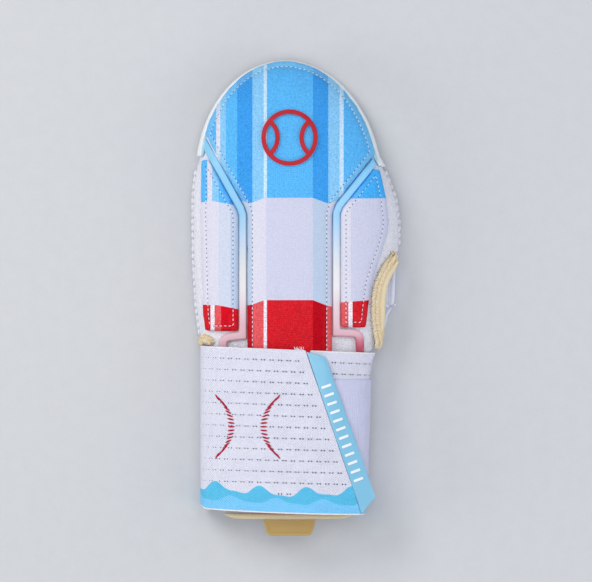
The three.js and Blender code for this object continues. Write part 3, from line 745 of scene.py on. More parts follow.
def border(n, share, height, table):
    """One where a point lies above a border line, nought below it."""
    stops = [(print_share(x), ((y + LINE_SPAN) / (2 * LINE_SPAN),) * 3) for x, y in table]
    line = n.scaled(n.ramp(share, stops), 2 * LINE_SPAN, -LINE_SPAN)
    return n.scaled(n.math("SUBTRACT", height, line), LINE_SHARPNESS, 0.5, clamp=True)


def print_material(node, plan):
    """Three bands of stripes across a pad: blue towards the fingers, white, and red towards the wrist."""
    finish = Finish(f"{node}_print")
    n = finish.nodes
    share, height = across_print(n, finish.place)
    upper, middle, lower = [stripes(n, share, plan[band]) for band in ("upper", "middle", "lower")]
    above = border(n, share, height, plan["upper_line"])
    if plan.get("margin"):
        edge = n.times(n.attribute("margin"), plan["margin"])
        upper = n.mix(edge, upper, rgba(colours().margin))
    relief = finish.knit(1.35)
    lower, upper = (
        n.mix(1.0, band, n.scaled(relief[1], spread, 1 - spread / 2), "MULTIPLY")
        for band, spread in ((lower, RED_SPREAD), (upper, BLUE_SPREAD))
    )
    colour = n.mix(border(n, share, height, plan["lower_line"]), lower, middle)
    colour = n.mix(above, colour, upper)
    worn = (0.15, linear(236, 232, 232))
    return finish.close(
        colour, relief, roughness=0.82, depth=0.11, spread=0.22, rub=worn, Specular_IOR_Level=0.08
    )


PADS = {
    "centre_pad": {
        "fill": 0.6,
        "margin": 0.35,
        "upper": [
            (-64, "mid_blue"), (-49.6, "rose_white"), (-47.4, "light_blue"), (-43.7, "mid_blue"),
            (-36.9, "deep_blue"), (-27.4, "light_blue"), (-20.1, "ice_white"), (-18.1, "mid_blue"),
            (10.4, "deep_blue"), (19.8, "light_blue"), (27, "ice_white"), (29.1, "mid_blue"),
        ],
        "middle": [
            (-64, "pale_blue"), (-27.3, "rose_white"), (-18.5, "lilac_white"), (10.4, "pale_blue"),
            (19.8, "lilac_white"),
        ],
        "lower": [
            (-64, "dark_red"), (-27.3, "light_red"), (-20.4, "stripe_white"), (-18.3, "red"),
            (10.5, "dark_red"), (19, "light_red"),
        ],
        "upper_line": [
            (-50, 61), (-34.1, 59.8), (-27.3, 58.6), (-19.8, 61.7), (10.5, 61.7), (19.8, 58.2), (32, 62),
        ],
        "lower_line": [(-31, -4.9), (-27.3, -4.4), (-19.5, -1.6), (10.5, -1.6), (19.8, -5.2), (23, -5.6)],
    },
    "outer_pad": {
        "fill": 0.55,
        "upper": [
            (-64, "mid_blue"), (-55.1, "rose_white"), (-52.2, "light_blue"), (-48, "mid_blue"),
            (-41, "deep_blue"),
        ],
        "middle": [(-64, "rose_white"), (-48.4, "cool_white"), (-40.5, "pale_blue")],
        "lower": [(-64, "red"), (-53.1, "stripe_white"), (-50.8, "light_red"), (-46.8, "bright_red")],
        "upper_line": [(-59, 59), (-50.8, 59.7), (-40.3, 57.5), (-36, 57)],
        "lower_line": [(-59, -4.4), (-48, -4.8), (-36, -7.2)],
    },
    "thumb_pad": {
        "fill": 0.55,
        "upper": [(0, "mid_blue"), (40, "thumb_blue")],
        "middle": [(0, "rose_white"), (34, "lilac_white")],
        "lower": [(0, "light_red"), (32.2, "stripe_white"), (34.6, "red"), (44, "dark_red")],
        "upper_line": [(27, 61.2), (58, 61.6)],
        "lower_line": [(27, -3.1), (50, -1.3)],
    },
}
PRESSURE = 4.0
PRESSURE_MESH = 4.0
CLOTH_MASS = 0.002
CLOTH_QUALITY = 4
CLOTH_FRAMES = 20
SIDE_FACING, UPPER_FACING = (0.25, -0.3), (0, 0.3)
STRAP_SHADOW = (-26, -4)
SEWN_REACH = 1.1
MARGIN_RUN, MARGIN_SINK = 1.5, 0.1
PAD_RIPPLE, PAD_RIPPLE_PITCH = 0.12, 17
LAST_STITCH_Y = -38
STITCH_LIFT = 0.1
# Sizes of the dark spots that paint the shadow in the needle holes: by the pads' stitches, and by the thumb's
# binding.
STITCH_HOLE_SHADOW, BINDING_HOLE_SHADOW = (0.8, 0.28), (0.68, 0.24)
BLUE_THREAD_FROM = 60


def swell(piece, held, cap, mesh_size):
    """Puffs a pad out as cloth under pressure. held is nought to one, cap the most that a point may move."""
    start = points_of(piece)
    group = piece.vertex_groups.new(name="held")
    for index, weight in enumerate(held):
        group.add([index], float(weight), "REPLACE")
    cloth = piece.modifiers.new("Swell", "CLOTH")
    cloth.settings.use_pressure = True
    cloth.settings.uniform_pressure_force = PRESSURE * (PRESSURE_MESH * MM / mesh_size) ** 2
    cloth.settings.mass = CLOTH_MASS
    cloth.settings.quality = CLOTH_QUALITY
    cloth.settings.vertex_group_mass = group.name
    cloth.settings.effector_weights.gravity = 0
    cloth.collision_settings.use_collision = False
    cloth.point_cache.frame_end = CLOTH_FRAMES
    scene = bpy.context.scene
    for number in range(1, CLOTH_FRAMES + 1):
        scene.frame_set(number)
    shown = piece.evaluated_get(bpy.context.evaluated_depsgraph_get())
    moved = vectors_of(shown.to_mesh().vertices, "co") - start
    shown.to_mesh_clear()
    far = np.maximum(np.linalg.norm(moved, axis=1), TINY)
    moved *= np.minimum(1, cap / far)[:, None]
    piece.modifiers.remove(cloth)
    piece.vertex_groups.clear()
    scene.frame_set(1)
    move_points(piece, start + moved)
    return far.max()


def pad_piece(node, plan):
    """A foam pad: its solid is remeshed, swollen as cloth between its stitch rows, then sewn down."""
    s = sizes()
    pad, solid = copy_of(node, f"{node}_cover"), copy_of(node, f"{node}_solid")
    outline = plan_outline(solid)
    row = inset_line(outline, s.stitch_inset)
    voxel = s.pad_voxel if plan.get("margin") else s.side_voxel
    remesh(pad, voxel, 4)
    apply_modifier(pad, "SHRINKWRAP", target=solid, wrap_method="NEAREST_SURFACEPOINT")
    apply_modifier(pad, "SMOOTH", factor=0.5, iterations=3)
    bpy.data.objects.remove(solid)
    points, normals = points_of(pad), normals_of(pad)
    lying = fade(normals[:, 2], *SIDE_FACING)
    sewn = bell(nearest_distance(points, row), SEWN_REACH * MM)
    under = fade(points[:, 1] / MM, *STRAP_SHADOW)
    held = np.maximum(np.maximum(lying, sewn), under)
    cap = s.pad_swell * (1 - held) + MM * MM
    print(f"{node}: the cloth moved {swell(pad, held, cap, voxel) / MM:.2f} mm")
    subdivide(pad, 1)
    points, normals = points_of(pad), normals_of(pad)
    points[:, :2] += s.pad_growth * normals[:, :2] * (1 - np.abs(normals[:, 2:]))
    upward = fade(normals[:, 2], *UPPER_FACING)
    to_edge = nearest_distance(points, outline)
    margin = np.clip((s.stitch_inset - to_edge) / (MARGIN_RUN * MM) + 0.5, 0, 1) * upward
    groove = bell(nearest_distance(points, row), s.groove_width) * upward
    ripple = PAD_RIPPLE * MM * wander(points, PAD_RIPPLE_PITCH, seed=len(node)) * upward
    sink = s.groove_depth * groove + MARGIN_SINK * MM * margin - ripple
    move_points(pad, points - normals * sink[:, None])
    apply_modifier(pad, "SMOOTH", factor=0.4, iterations=1)
    write_attribute(pad, "margin", margin)
    smooth(pad)
    fit(pad, print_material(node, plan), node)
    return pad, row


def thread_material(tone="white"):
    paint = colours().thread_blue if tone == "blue" else colours().thread
    return knit_material(f"sewing_thread_{tone}", paint, pitch=0.35, depth=0.05, rub=None)


# A dark colour that paints the shadow in needle holes.
def hole_shadow_material():
    return moulded_material("needle_hole_shadow", colours().needle_hole, roughness=0.9)


def stitch_row(surface, row, name):
    """A closed row of thread dashes with dark spots between them, which paint the shadow in the needle holes,
    seated on a surface from above.
    """
    s = sizes()
    line = even_line(row, s.stitch_pitch, closed=True)
    tree = tree_of(surface)
    tones, marks = {"white": [], "blue": []}, []
    for (x, y), (dx, dy) in zip(line, directions(line, closed=True)):
        if y <= LAST_STITCH_Y * MM:
            continue
        dashes = tones["blue" if y > BLUE_THREAD_FROM * MM else "white"]
        # The marks half a pitch on are dark spots that paint the shadow in the needle holes.
        for shift, seats, lift in ((0.0, dashes, STITCH_LIFT * MM), (0.5 * s.stitch_pitch, marks, 0.0)):
            hit, normal = topmost(tree, x + dx * shift, y + dy * shift)
            if hit is not None:
                seats.append(seat(hit + normal * lift, (dx, dy, 0), normal))
    parts = []
    for tone, seats in tones.items():
        if seats:
            dash = thread_dash(s.stitch_length / MM, s.stitch_thread / MM)
            parts.append(scatter(dash, seats, f"{name}_{tone}"))
            dress(parts[-1], thread_material(tone))
    holes = scatter(flat_bead(*STITCH_HOLE_SHADOW), marks, f"{name}_holes")
    dress(holes, hole_shadow_material())
    fit(joined(name, *parts, holes), worn=False)


class MITT_OT_pads(bpy.types.Operator):
    """Makes the three printed pads on the back of the hand, with their stitch rows"""

    bl_idname = "mitt.add_pads"
    bl_label = "Printed pads"

    def execute(self, context):
        for node, plan in PADS.items():
            pad, row = pad_piece(node, plan)
            stitch_row(pad, row, f"{node}_stitches")
        return {"FINISHED"}


SEAM_Z = 5.2
SEAM_SINK = 0.6
SCALLOPS = {
    "level": (17, -8), "wrist": (-26, 6), "fingers": (86, -3),
    "outer": (-8, 30, 0.35), "thumb": (50, 8, 0.15),
}
SHELL_RIPPLE, SHELL_RIPPLE_PITCH = 0.22, 23
SCALLOP_POWER = 0.6
LOOP_RADIUS, LOOP_THREAD, LOOP_SINK = 2.3, 0.32, 1.7
LEAN_STEP, LEAN_SPAN = 0.12, 0.4
GATHER_SIZE = (4.1, 2.3, 6.4)
GATHER_RISE = 2.0
SIDE_SEAMS = {
    "outer": ((-61.9, 79.5), (-62.7, 76), (-64.1, 62), (-64.1, 46), (-63.7, 22), (-62.1, -6), (-59.8, -23)),
    "thumb": ((55.2, 79), (56.6, 76), (61.9, 62), (64.1, 46), (64, 34)),
}


def shell_knit():
    s = sizes()
    shell = copy_of("back_shell", "back_shell_knit")
    remesh(shell, s.shell_voxel, 3)
    points, normals = points_of(shell), normals_of(shell)
    x, y, z = points.T / MM
    outside = np.clip(normals[:, 0] * np.sign(x), 0, 1)
    low = fade(z, *SCALLOPS["level"]) * fade(y, *SCALLOPS["wrist"]) * fade(y, *SCALLOPS["fingers"])
    side = np.where(x < 0, fade(y, *SCALLOPS["outer"]), fade(y, *SCALLOPS["thumb"]))
    wave = np.abs(np.cos(math.pi * points[:, 1] / s.scallop_pitch)) ** SCALLOP_POWER
    bulge = (s.scallop_height * wave - SEAM_SINK * MM) * outside * low * side
    facing = np.clip(normals[:, 2] + outside, 0, 1)
    ripple = SHELL_RIPPLE * MM * wander(points, SHELL_RIPPLE_PITCH, seed=3) * facing
    move_points(shell, points + normals * (bulge + ripple)[:, None])
    smooth(shell)
    cloth = knit_material("shell_knit", colours().knit, pitch=1.7, depth=0.26, spread=0.4)
    fit(shell, cloth, "back_shell")


def overlock_loop(radius, thread):
    """Half a ring of thread, as it wraps round a seam."""
    deselect()
    bpy.ops.mesh.primitive_torus_add(
        major_radius=radius, minor_radius=thread, major_segments=14, minor_segments=5
    )
    loop = new_piece("overlock_loop")
    edit(loop)
    bpy.ops.mesh.bisect(plane_co=(-0.3 * radius, 0, 0), plane_no=(1, 0, 0), use_fill=True, clear_inner=True)
    leave_edit()
    return loop


def seam_places(phase):
    """Where the side seams' loops or puffs sit, the way out from the shell and the way along the seam."""
    pitch = sizes().scallop_pitch
    for side, course in SIDE_SEAMS.items():
        line = even_line(np.array(course[::-1]) * MM, LINE_STEP * MM)
        along = directions(line)
        first = math.ceil(line[0, 1] / pitch)
        last = math.floor(line[-1, 1] / pitch - phase)
        for number in range(first, last + 1):
            y = (number + phase) * pitch
            x, dx, dy = (np.interp(y, line[:, 1], row) for row in (line[:, 0], along[:, 0], along[:, 1]))
            outward = Vector((-1 if side == "outer" else 1, 0, 0))
            yield Vector((x, y, SEAM_Z * MM)), outward, Vector((dx, dy, 0))


def overlock():
    """Thread loops round the side seams, one in each dip of the knit."""
    seats = []
    for number, (place, outward, _) in enumerate(seam_places(0.5)):
        lean = Vector((LEAN_STEP * number % LEAN_SPAN - LEAN_SPAN / 2, 1, 0))
        seats.append(seat(place - outward * LOOP_SINK * MM, outward, lean))
    loops = scatter(overlock_loop(LOOP_RADIUS * MM, LOOP_THREAD * MM), seats, "side_seam_overlock")
    fit(loops, thread_material(), worn=False)


def gathers():
    """The puffs of knit between the overlock loops, along the side seams."""
    seats = [seat(place + UP * GATHER_RISE * MM, along, UP) for place, _, along in seam_places(0.0)]
    puff = pellet("knit_puff", 12, 8, [extent * MM for extent in GATHER_SIZE])
    puffs = scatter(puff, seats, "side_seam_gathers")
    fit(puffs, bpy.data.materials["shell_knit"])


class MITT_OT_shell(bpy.types.Operator):
    """Makes the knit shell over the hand, and the puffs and overlock loops of its side seams"""

    bl_idname = "mitt.add_shell"
    bl_label = "Knit shell"

    def execute(self, context):
        shell_knit()
        overlock()
        gathers()
        return {"FINISHED"}


PALM_STITCH_INSET = 4.2
PALM_GROOVE, PALM_GROOVE_DEPTH = 1.6, 0.7
PALM_FOLD = ((53.5, -3.6), (56.2, -5.2), (59, -5.8), (61.6, -4.6))
FOLD_RADIUS = 1.6
FLAP = {"across": (47, 6), "start": (-6, 1.6), "end": (24, -9), "top": (0.8, 3.5), "rise": 8.5}


class MITT_OT_palm(bpy.types.Operator):
    """Makes the padded palm with a sewn channel round its edge"""

    bl_idname = "mitt.add_palm"
    bl_label = "Padded palm"

    def execute(self, context):
        s = sizes()
        palm = copy_of("palm_panel", "palm_panel_cover")
        row = inset_line(plan_outline(palm), PALM_STITCH_INSET * MM)
        remesh(palm, s.shell_voxel, 3)
        points, normals = points_of(palm), normals_of(palm)
        groove = bell(nearest_distance(points, row), PALM_GROOVE * MM) * np.abs(normals[:, 2])
        points -= normals * (PALM_GROOVE_DEPTH * MM * groove)[:, None]
        points[:, 2] += self.flap(points)
        move_points(palm, points)
        smooth(palm)
        cloth = knit_material("palm_knit", colours().palm, pitch=1.1, depth=0.14)
        fit(palm, cloth, "palm_panel")
        places = lying_line(tree_of(palm), PALM_FOLD, step=1.0, lift=0.25 * FOLD_RADIUS)
        fit(roll_along("palm_panel_fold", places, FOLD_RADIUS), cloth)
        return {"FINISHED"}

    @staticmethod
    def flap(points):
        """How far the palm's flap stands up in the thumb opening."""
        x, y, z = points.T / MM
        along = fade(y, *FLAP["start"]) * fade(y, *FLAP["end"])
        return FLAP["rise"] * MM * fade(x, *FLAP["across"]) * along * fade(z, *FLAP["top"])


PIPING_RAMPS = {
    "outer_piping": (
        (92, (133, 202, 238)), (66, (138, 203, 239)), (52, (148, 201, 236)), (36, (188, 210, 232)),
        (20, (219, 222, 225)), (7, (229, 226, 229)), (-3, (227, 214, 222)), (-17, (223, 182, 196)),
        (-24, (222, 184, 195)), (-34, (218, 160, 176)),
    ),
    "thumb_piping": (
        (84, (131, 209, 250)), (66, (146, 212, 250)), (52, (148, 206, 245)), (36, (193, 217, 240)),
        (20, (226, 229, 233)), (7, (235, 235, 237)), (-3, (230, 215, 223)), (-12, (231, 203, 215)),
        (-19, (227, 191, 202)), (-23, (221, 176, 190)), (-27, (208, 110, 134)), (-31, (189, 60, 90)),
        (-36, (180, 46, 80)),
    ),
}
PIPING_ENDS = {
    "outer_piping": (88.5, (-0.4846, 0.8747), -1, 1.5, 7.0),
    "thumb_piping": (80.5, (0.64, 0.77), 1, 0.5, 3.0),
}
# Course and radius of the pale roll that paints a highlight along the outer piping's upper edge.
PIPING_LIP = ((-55.4, 99.4), (-51.3, 92.7), (-41.0, 73.9), (-38.3, 68.7))
LIP_RADIUS = 0.95
RAMP_SPAN = 100.0
LOW_PLACE = 30.0


def piping_material(node):
    finish = Finish(f"{node}_rubber")
    n = finish.nodes
    _, height = across_print(n, finish.place)
    share = n.scaled(height, 1 / (2 * RAMP_SPAN), 0.5)
    stops = sorted(((y + RAMP_SPAN) / (2 * RAMP_SPAN), linear(*steps)) for y, steps in PIPING_RAMPS[node])
    worn = (0.35, linear(238, 240, 244))
    return finish.close(
        n.ramp(share, stops), finish.grain(2200.0), roughness=0.42, depth=0.03, spread=0.08, rub=worn,
        Coat_Weight=0.12,
    )


def lowered(tree, old, new):
    """Points that were moved in plan, at the height that they had above what lies under them."""
    for before, after in zip(old, new):
        was, now = (topmost(tree, *place[:2])[0] for place in (before, after))
        if was is not None and now is not None:
            after[2] += now.z - was.z
    return new


def lying_line(tree, course, step, lift):
    """Places along a line in plan, at the evened-out height of what lies under it."""
    line = rounded_line(course, step)
    heights = []
    for x, y in line:
        hit, _ = topmost(tree, x, y)
        if hit is None:
            hit, _, _, _ = tree.find_nearest(Vector((x, y, LOW_PLACE * MM)))
        heights.append(hit.z + lift * MM)
    even = np.convolve(np.pad(heights, 2, mode="edge"), np.ones(5) / 5, mode="valid")
    return np.column_stack([line, even])


class MITT_OT_piping(bpy.types.Operator):
    """Makes the moulded strips in the grooves between the pads"""

    bl_idname = "mitt.add_piping"
    bl_label = "Moulded piping"

    def execute(self, context):
        shell = tree_of(bpy.data.objects["back_shell_knit"])
        for node in PIPING_RAMPS:
            strip = copy_of(node, f"{node}_strip")
            self.draw_out(strip, shell, *PIPING_ENDS[node])
            round_edges(strip, width=0.45)
            fit(strip, piping_material(node), node)
        outer = tree_of(bpy.data.objects["outer_piping_strip"])
        # A pale roll along the outer piping's upper edge paints the highlight there.
        places = lying_line(outer, PIPING_LIP, step=2.0, lift=-0.2)
        lip = roll_along("outer_piping_lip", places, LIP_RADIUS)
        fit(lip, knit_material("piping_lip_highlight", colours().lip, pitch=0.6, depth=0.03, rub=None))
        return {"FINISHED"}

    @staticmethod
    def draw_out(strip, shell, level, along, hand, short, long):
        """Moves a strip's upper end on over the shell, slantwise, so that it runs out beside the guard."""
        points = points_of(strip)
        run = np.array(along) / np.linalg.norm(along)
        side = np.array((-run[1], run[0])) * hand
        end = points[:, 1] > level * MM
        across = points[end][:, :2] @ side
        share = (across - across.min()) / (across.max() - across.min())
        moved = points[end].copy()
        moved[:, :2] += run * ((short + (long - short) * share) * MM)[:, None]
        points[end] = lowered(shell, points[end], moved)
        move_points(strip, points)


GUARD_CENTRE = (-5.5 * MM, 84 * MM)
GUARD_SECTOR = 4
GUARD_WHITE_SHARE = 0.58
GUARD_SHARPNESS = 8.0


class MITT_OT_guard(bpy.types.Operator):
    """Makes the moulded rim round the fingertips"""

    bl_idname = "mitt.add_guard"
    bl_label = "Fingertip guard"

    def execute(self, context):
        guard = copy_of("fingertip_guard", "fingertip_guard_rim")
        round_edges(guard, width=0.6)
        plan = points_of(guard)[:, :2] - GUARD_CENTRE
        turn, reach = np.arctan2(plan[:, 1], plan[:, 0]), np.linalg.norm(plan, axis=1)
        sectors = np.round(turn / math.radians(GUARD_SECTOR)).astype(int)
        near = {number: reach[np.abs(sectors - number) <= 1] for number in set(sectors)}
        outer, inner = (np.array([edge(near[number]) for number in sectors]) for edge in (np.max, np.min))
        write_attribute(guard, "inward", (outer - reach) / (outer - inner))
        finish = Finish("guard_rubber")
        n = finish.nodes
        # The inner band's pale cyan is partly the rim's own tone and partly painted shade in the gap beside
        # the pad.
        start = 0.5 - GUARD_SHARPNESS * GUARD_WHITE_SHARE
        inside = n.scaled(n.attribute("inward"), GUARD_SHARPNESS, start, clamp=True)
        colour = n.mix(inside, rgba(colours().guard), rgba(colours().guard_inner))
        worn = (0.2, linear(205, 205, 205))
        grain = finish.grain(2000.0)
        rubber = finish.close(
            colour, grain, roughness=0.4, depth=0.03, spread=0.06, rub=worn, Coat_Weight=0.15
        )
        fit(guard, rubber, "fingertip_guard")
        return {"FINISHED"}


THUMB_TAPE = (
    (63.4, 29.2), (59.4, 24.4), (52.6, 13.4), (49.8, 4), (49, -4), (49.1, -12), (50.4, -21.5), (51.6, -28),
    (50.6, -32.8),
)
THUMB_ROLL = (
    (63.2, 22.4), (60.6, 18.2), (56.9, 12.8), (54.4, 5), (53.7, -3), (53.6, -12), (53.5, -17), (53.0, -21),
)
# Course of the dark spots that paint the shadow in the needle holes beside the thumb's binding.
THUMB_HOLE_SHADOWS = (
    (58.6, 28.4), (54.2, 23.2), (49.5, 13.2), (46.4, 2.8), (45.8, -4.6), (46.4, -14), (47.5, -22),
    (49, -29.4),
)
HOLE_SHADOW_PITCH = 5.0
OUTER_FOLD = ((-58.4, -25.2), (-56.2, -25.6), (-53.8, -26.6), (-51.6, -28.6))
OUTER_SHIFT = 1.8
OUTER_LUMP_RADIUS = 3.2
TAPE_STEP = 1.15
TAPE_WIDTH = {"thumb": 4.8, "outer": 4.6}
TAPE_THREAD = 1.05
TAPE_STRAY, TAPE_SLANT, TAPE_TURN, TAPE_LIFT = 0.3, 0.8, 0.55, (0.1, 0.4)
THUMB_STRETCH = {"rise": (19, 7.5), "across": (56.5, 5), "near": (4.4, 2.4), "far": (1.0, 3.6)}
ROLL_RADIUS = 1.9
THUMB_TAPER = (
    (-33, 49.0, 49.8, 0.4), (-29, 49.3, 51.2, 0.5), (-22, 51.0, 51.6, 0.85), (-14, 51.05, 51.05, 1.0),
)


def herringbone(name, course, width, carrier):
    """A braided tape: two columns of slanting threads, seated on what carries it."""
    chance = np.random.default_rng(SEED)
    tree = tree_of(carrier)
    line = rounded_line(course, TAPE_STEP)
    seats = []
    for place, run in zip(line, directions(line)):
        side = np.array((-run[1], run[0]))
        for hand in (-1, 1):
            spot = place + side * (hand * 0.25 * width * MM) + chance.uniform(-TAPE_STRAY, TAPE_STRAY, 2) * MM
            hit, normal = topmost(tree, *spot)
            if hit is None:
                continue
            thread = side + run * (TAPE_SLANT * hand + chance.uniform(-TAPE_TURN, TAPE_TURN))
            seats.append(seat(hit + normal * chance.uniform(*TAPE_LIFT) * MM, (*thread, 0), normal))
    tape = scatter(thread_dash(0.7 * width, TAPE_THREAD), seats, name)
    braid = knit_material("cream_braid", colours().cream_light, pitch=0.5, depth=0.1, rub=None)
    fit(tape, braid, worn=False)


def roll_along(name, places, radius, tip=0.45, rate=0.1):
    """A round roll along a line. Its ends have the tip's share of the radius, and it grows by a rate."""
    curve = bpy.data.curves.new(name, "CURVE")
    curve.dimensions = "3D"
    curve.bevel_depth = radius * MM
    curve.bevel_resolution = 3
    curve.use_fill_caps = True
    spline = curve.splines.new("POLY")
    spline.points.add(len(places) - 1)
    for index, (point, place) in enumerate(zip(spline.points, places)):
        point.co = (*place, 1)
        point.radius = min(1, tip + rate * min(index, len(places) - 1 - index))
    piece = bpy.data.objects.new(name, curve)
    bpy.context.scene.collection.objects.link(piece)
    focus(piece)
    bpy.ops.object.convert(target="MESH")
    smooth(piece, 50)
    return piece


class MITT_OT_bindings(bpy.types.Operator):
    """Makes the cream bindings of the cut edges: a smooth roll beside a braided tape"""

    bl_idname = "mitt.add_bindings"
    bl_label = "Cream bindings"

    def execute(self, context):
        c = colours()
        shell = bpy.data.objects["back_shell_knit"]
        base = {}
        for side in ("thumb", "outer"):
            base[side] = copy_of(f"{side}_binding", f"{side}_binding_base")
            subdivide(base[side], 2)
        points = self.tapered(points_of(base["thumb"]))
        move_points(base["thumb"], self.stretched(points, tree_of(shell)))
        move_points(base["outer"], points_of(base["outer"]) + np.array((OUTER_SHIFT * MM, 0, 0)))
        # The tape's ground is a darker cream: partly its own tone, partly painted shade between the braid's
        # threads.
        ground = knit_material("cream_tape", c.cream_dark, pitch=0.8, depth=0.1, rub=(0.3, c.cream))
        for side, tape in base.items():
            smooth(tape)
            fit(tape, ground, f"{side}_binding")
        places = lying_line(tree_of(base["thumb"]), THUMB_ROLL, step=1.5, lift=-0.35 * ROLL_RADIUS)
        roll = roll_along("thumb_binding_roll", places, ROLL_RADIUS)
        places = lying_line(tree_of(shell), OUTER_FOLD, step=1.0, lift=0.15 * OUTER_LUMP_RADIUS)
        lump = roll_along("outer_binding_end", places, OUTER_LUMP_RADIUS, tip=0.6, rate=0.2)
        # The end lump also takes the darker cream, partly painted shade between the braid's threads that lie
        # on it.
        for piece, paint in ((roll, c.cream), (lump, c.cream_dark)):
            cloth = knit_material(f"{piece.name}_tape", paint, pitch=0.45, depth=0.03, rub=None)
            fit(piece, cloth)
        herringbone("thumb_binding_tape", THUMB_TAPE, TAPE_WIDTH["thumb"], base["thumb"])
        herringbone("outer_binding_tape", OUTER_FOLD, TAPE_WIDTH["outer"], lump)
        self.needle_hole_shadows(shell)
        return {"FINISHED"}

    @staticmethod
    def tapered(points):
        """Narrows the lower end of the thumb's binding, and draws it sideways."""
        level, own, wanted, share = np.array(THUMB_TAPER).T
        x, y, _ = points.T / MM
        middle, target, width = (np.interp(y, level, row) for row in (own, wanted, share))
        points[:, 0] = np.where(y < level[-1], target + (x - middle) * width, x) * MM
        return points

    @staticmethod
    def stretched(points, shell):
        """Draws the upper end of the thumb's binding out to the side of the shell."""
        x, y, _ = points.T / MM
        rise = fade(y, *THUMB_STRETCH["rise"])
        rise = (rise * rise * (3 - 2 * rise))[:, None]
        far = fade(x, *THUMB_STRETCH["across"])[:, None]
        near_move, far_move = np.array(THUMB_STRETCH["near"]), np.array(THUMB_STRETCH["far"])
        moved = points.copy()
        moved[:, :2] += rise * MM * (near_move * (1 - far) + far_move * far)
        return lowered(shell, points, moved)

    @staticmethod
    def needle_hole_shadows(shell):
        """Dark spots beside the thumb's binding, which paint the shadow in its needle holes."""
        tree = tree_of(shell)
        found = [topmost(tree, x, y) for x, y in rounded_line(THUMB_HOLE_SHADOWS, HOLE_SHADOW_PITCH)]
        seats = [seat(hit, (0, 1, 0), normal) for hit, normal in found if hit is not None]
        marks = scatter(flat_bead(*BINDING_HOLE_SHADOW), seats, "thumb_binding_needle_marks")
        fit(marks, hole_shadow_material(), worn=False)


TAN_WORN = (0.35, linear(228, 214, 186))
TAB_BORDER, TAB_SLOPE, TAB_SINK = 1.5, 0.35, 0.45


class MITT_OT_rim(bpy.types.Operator):
    """Makes the tan rim of the wrist tongue and its pull tab"""

    bl_idname = "mitt.add_rim"
    bl_label = "Wrist rim and pull tab"

    def execute(self, context):
        c = colours()
        rim = copy_of("rim_binding", "rim_binding_trim")
        subdivide(rim, 2)
        smooth(rim)
        tape = knit_material("rim_tape", c.rim_tan, pitch=0.7, depth=0.08, rub=TAN_WORN)
        fit(rim, tape, "rim_binding")
        tab = copy_of("pull_tab", "pull_tab_trim")
        edit(tab)
        bpy.ops.mesh.dissolve_limited(angle_limit=math.radians(3))
        sink_top(tab, TAB_BORDER * MM, TAB_SLOPE * MM, TAB_SINK * MM)
        leave_edit()
        round_edges(tab, width=0.3)
        rubber = moulded_material(
            "tab_rubber", c.tab_tan, roughness=0.6, depth=0.06, scale=1500.0, rub=TAN_WORN
        )
        fit(tab, rubber, "pull_tab")
        return {"FINISHED"}


RIM_FACING = 0.8
ROW_STEP = 1.0
FIRST_HOLE_ROW = 7.0
HOLE_ROWS = 13
HOLE_FADE = ((-57.5, 0.5), (-48, 0.76), (-12, 1.0))
HOLE_HEIGHT, HOLE_SINK, HOLE_LIFT = 0.3, 0.13, 0.02
HOLE_RIM, HOLE_SLOPE, HOLE_FLOOR = 0.2, 0.06, 0.7
HOLE_CLEARANCE, COVER_REACH = 0.4, 12
WAVE_CLEAR = 0.4
END_MARGIN = 3.0
HEM = 0.7
MESH_PITCH = 1.6
STRAP_MIDDLE, STRAP_SQUASH = (-5.0, 0.0, 22.0), (0.4, 0, 1)
STRAP_RIPPLE, STRAP_RIPPLE_PITCH = 0.16, 31
RIPPLE_RUN = 6.0
STRAP_DROP = 1.4
DROP_REACH = 12.0
BEND = (-55.0, -4.5)
BEND_LIFT = 2.6
START_LEAN = 3.1
LEAN_DROP, LEAN_ACROSS = (-36, -94), (28, 14)
PILE_LENGTH = 0.22


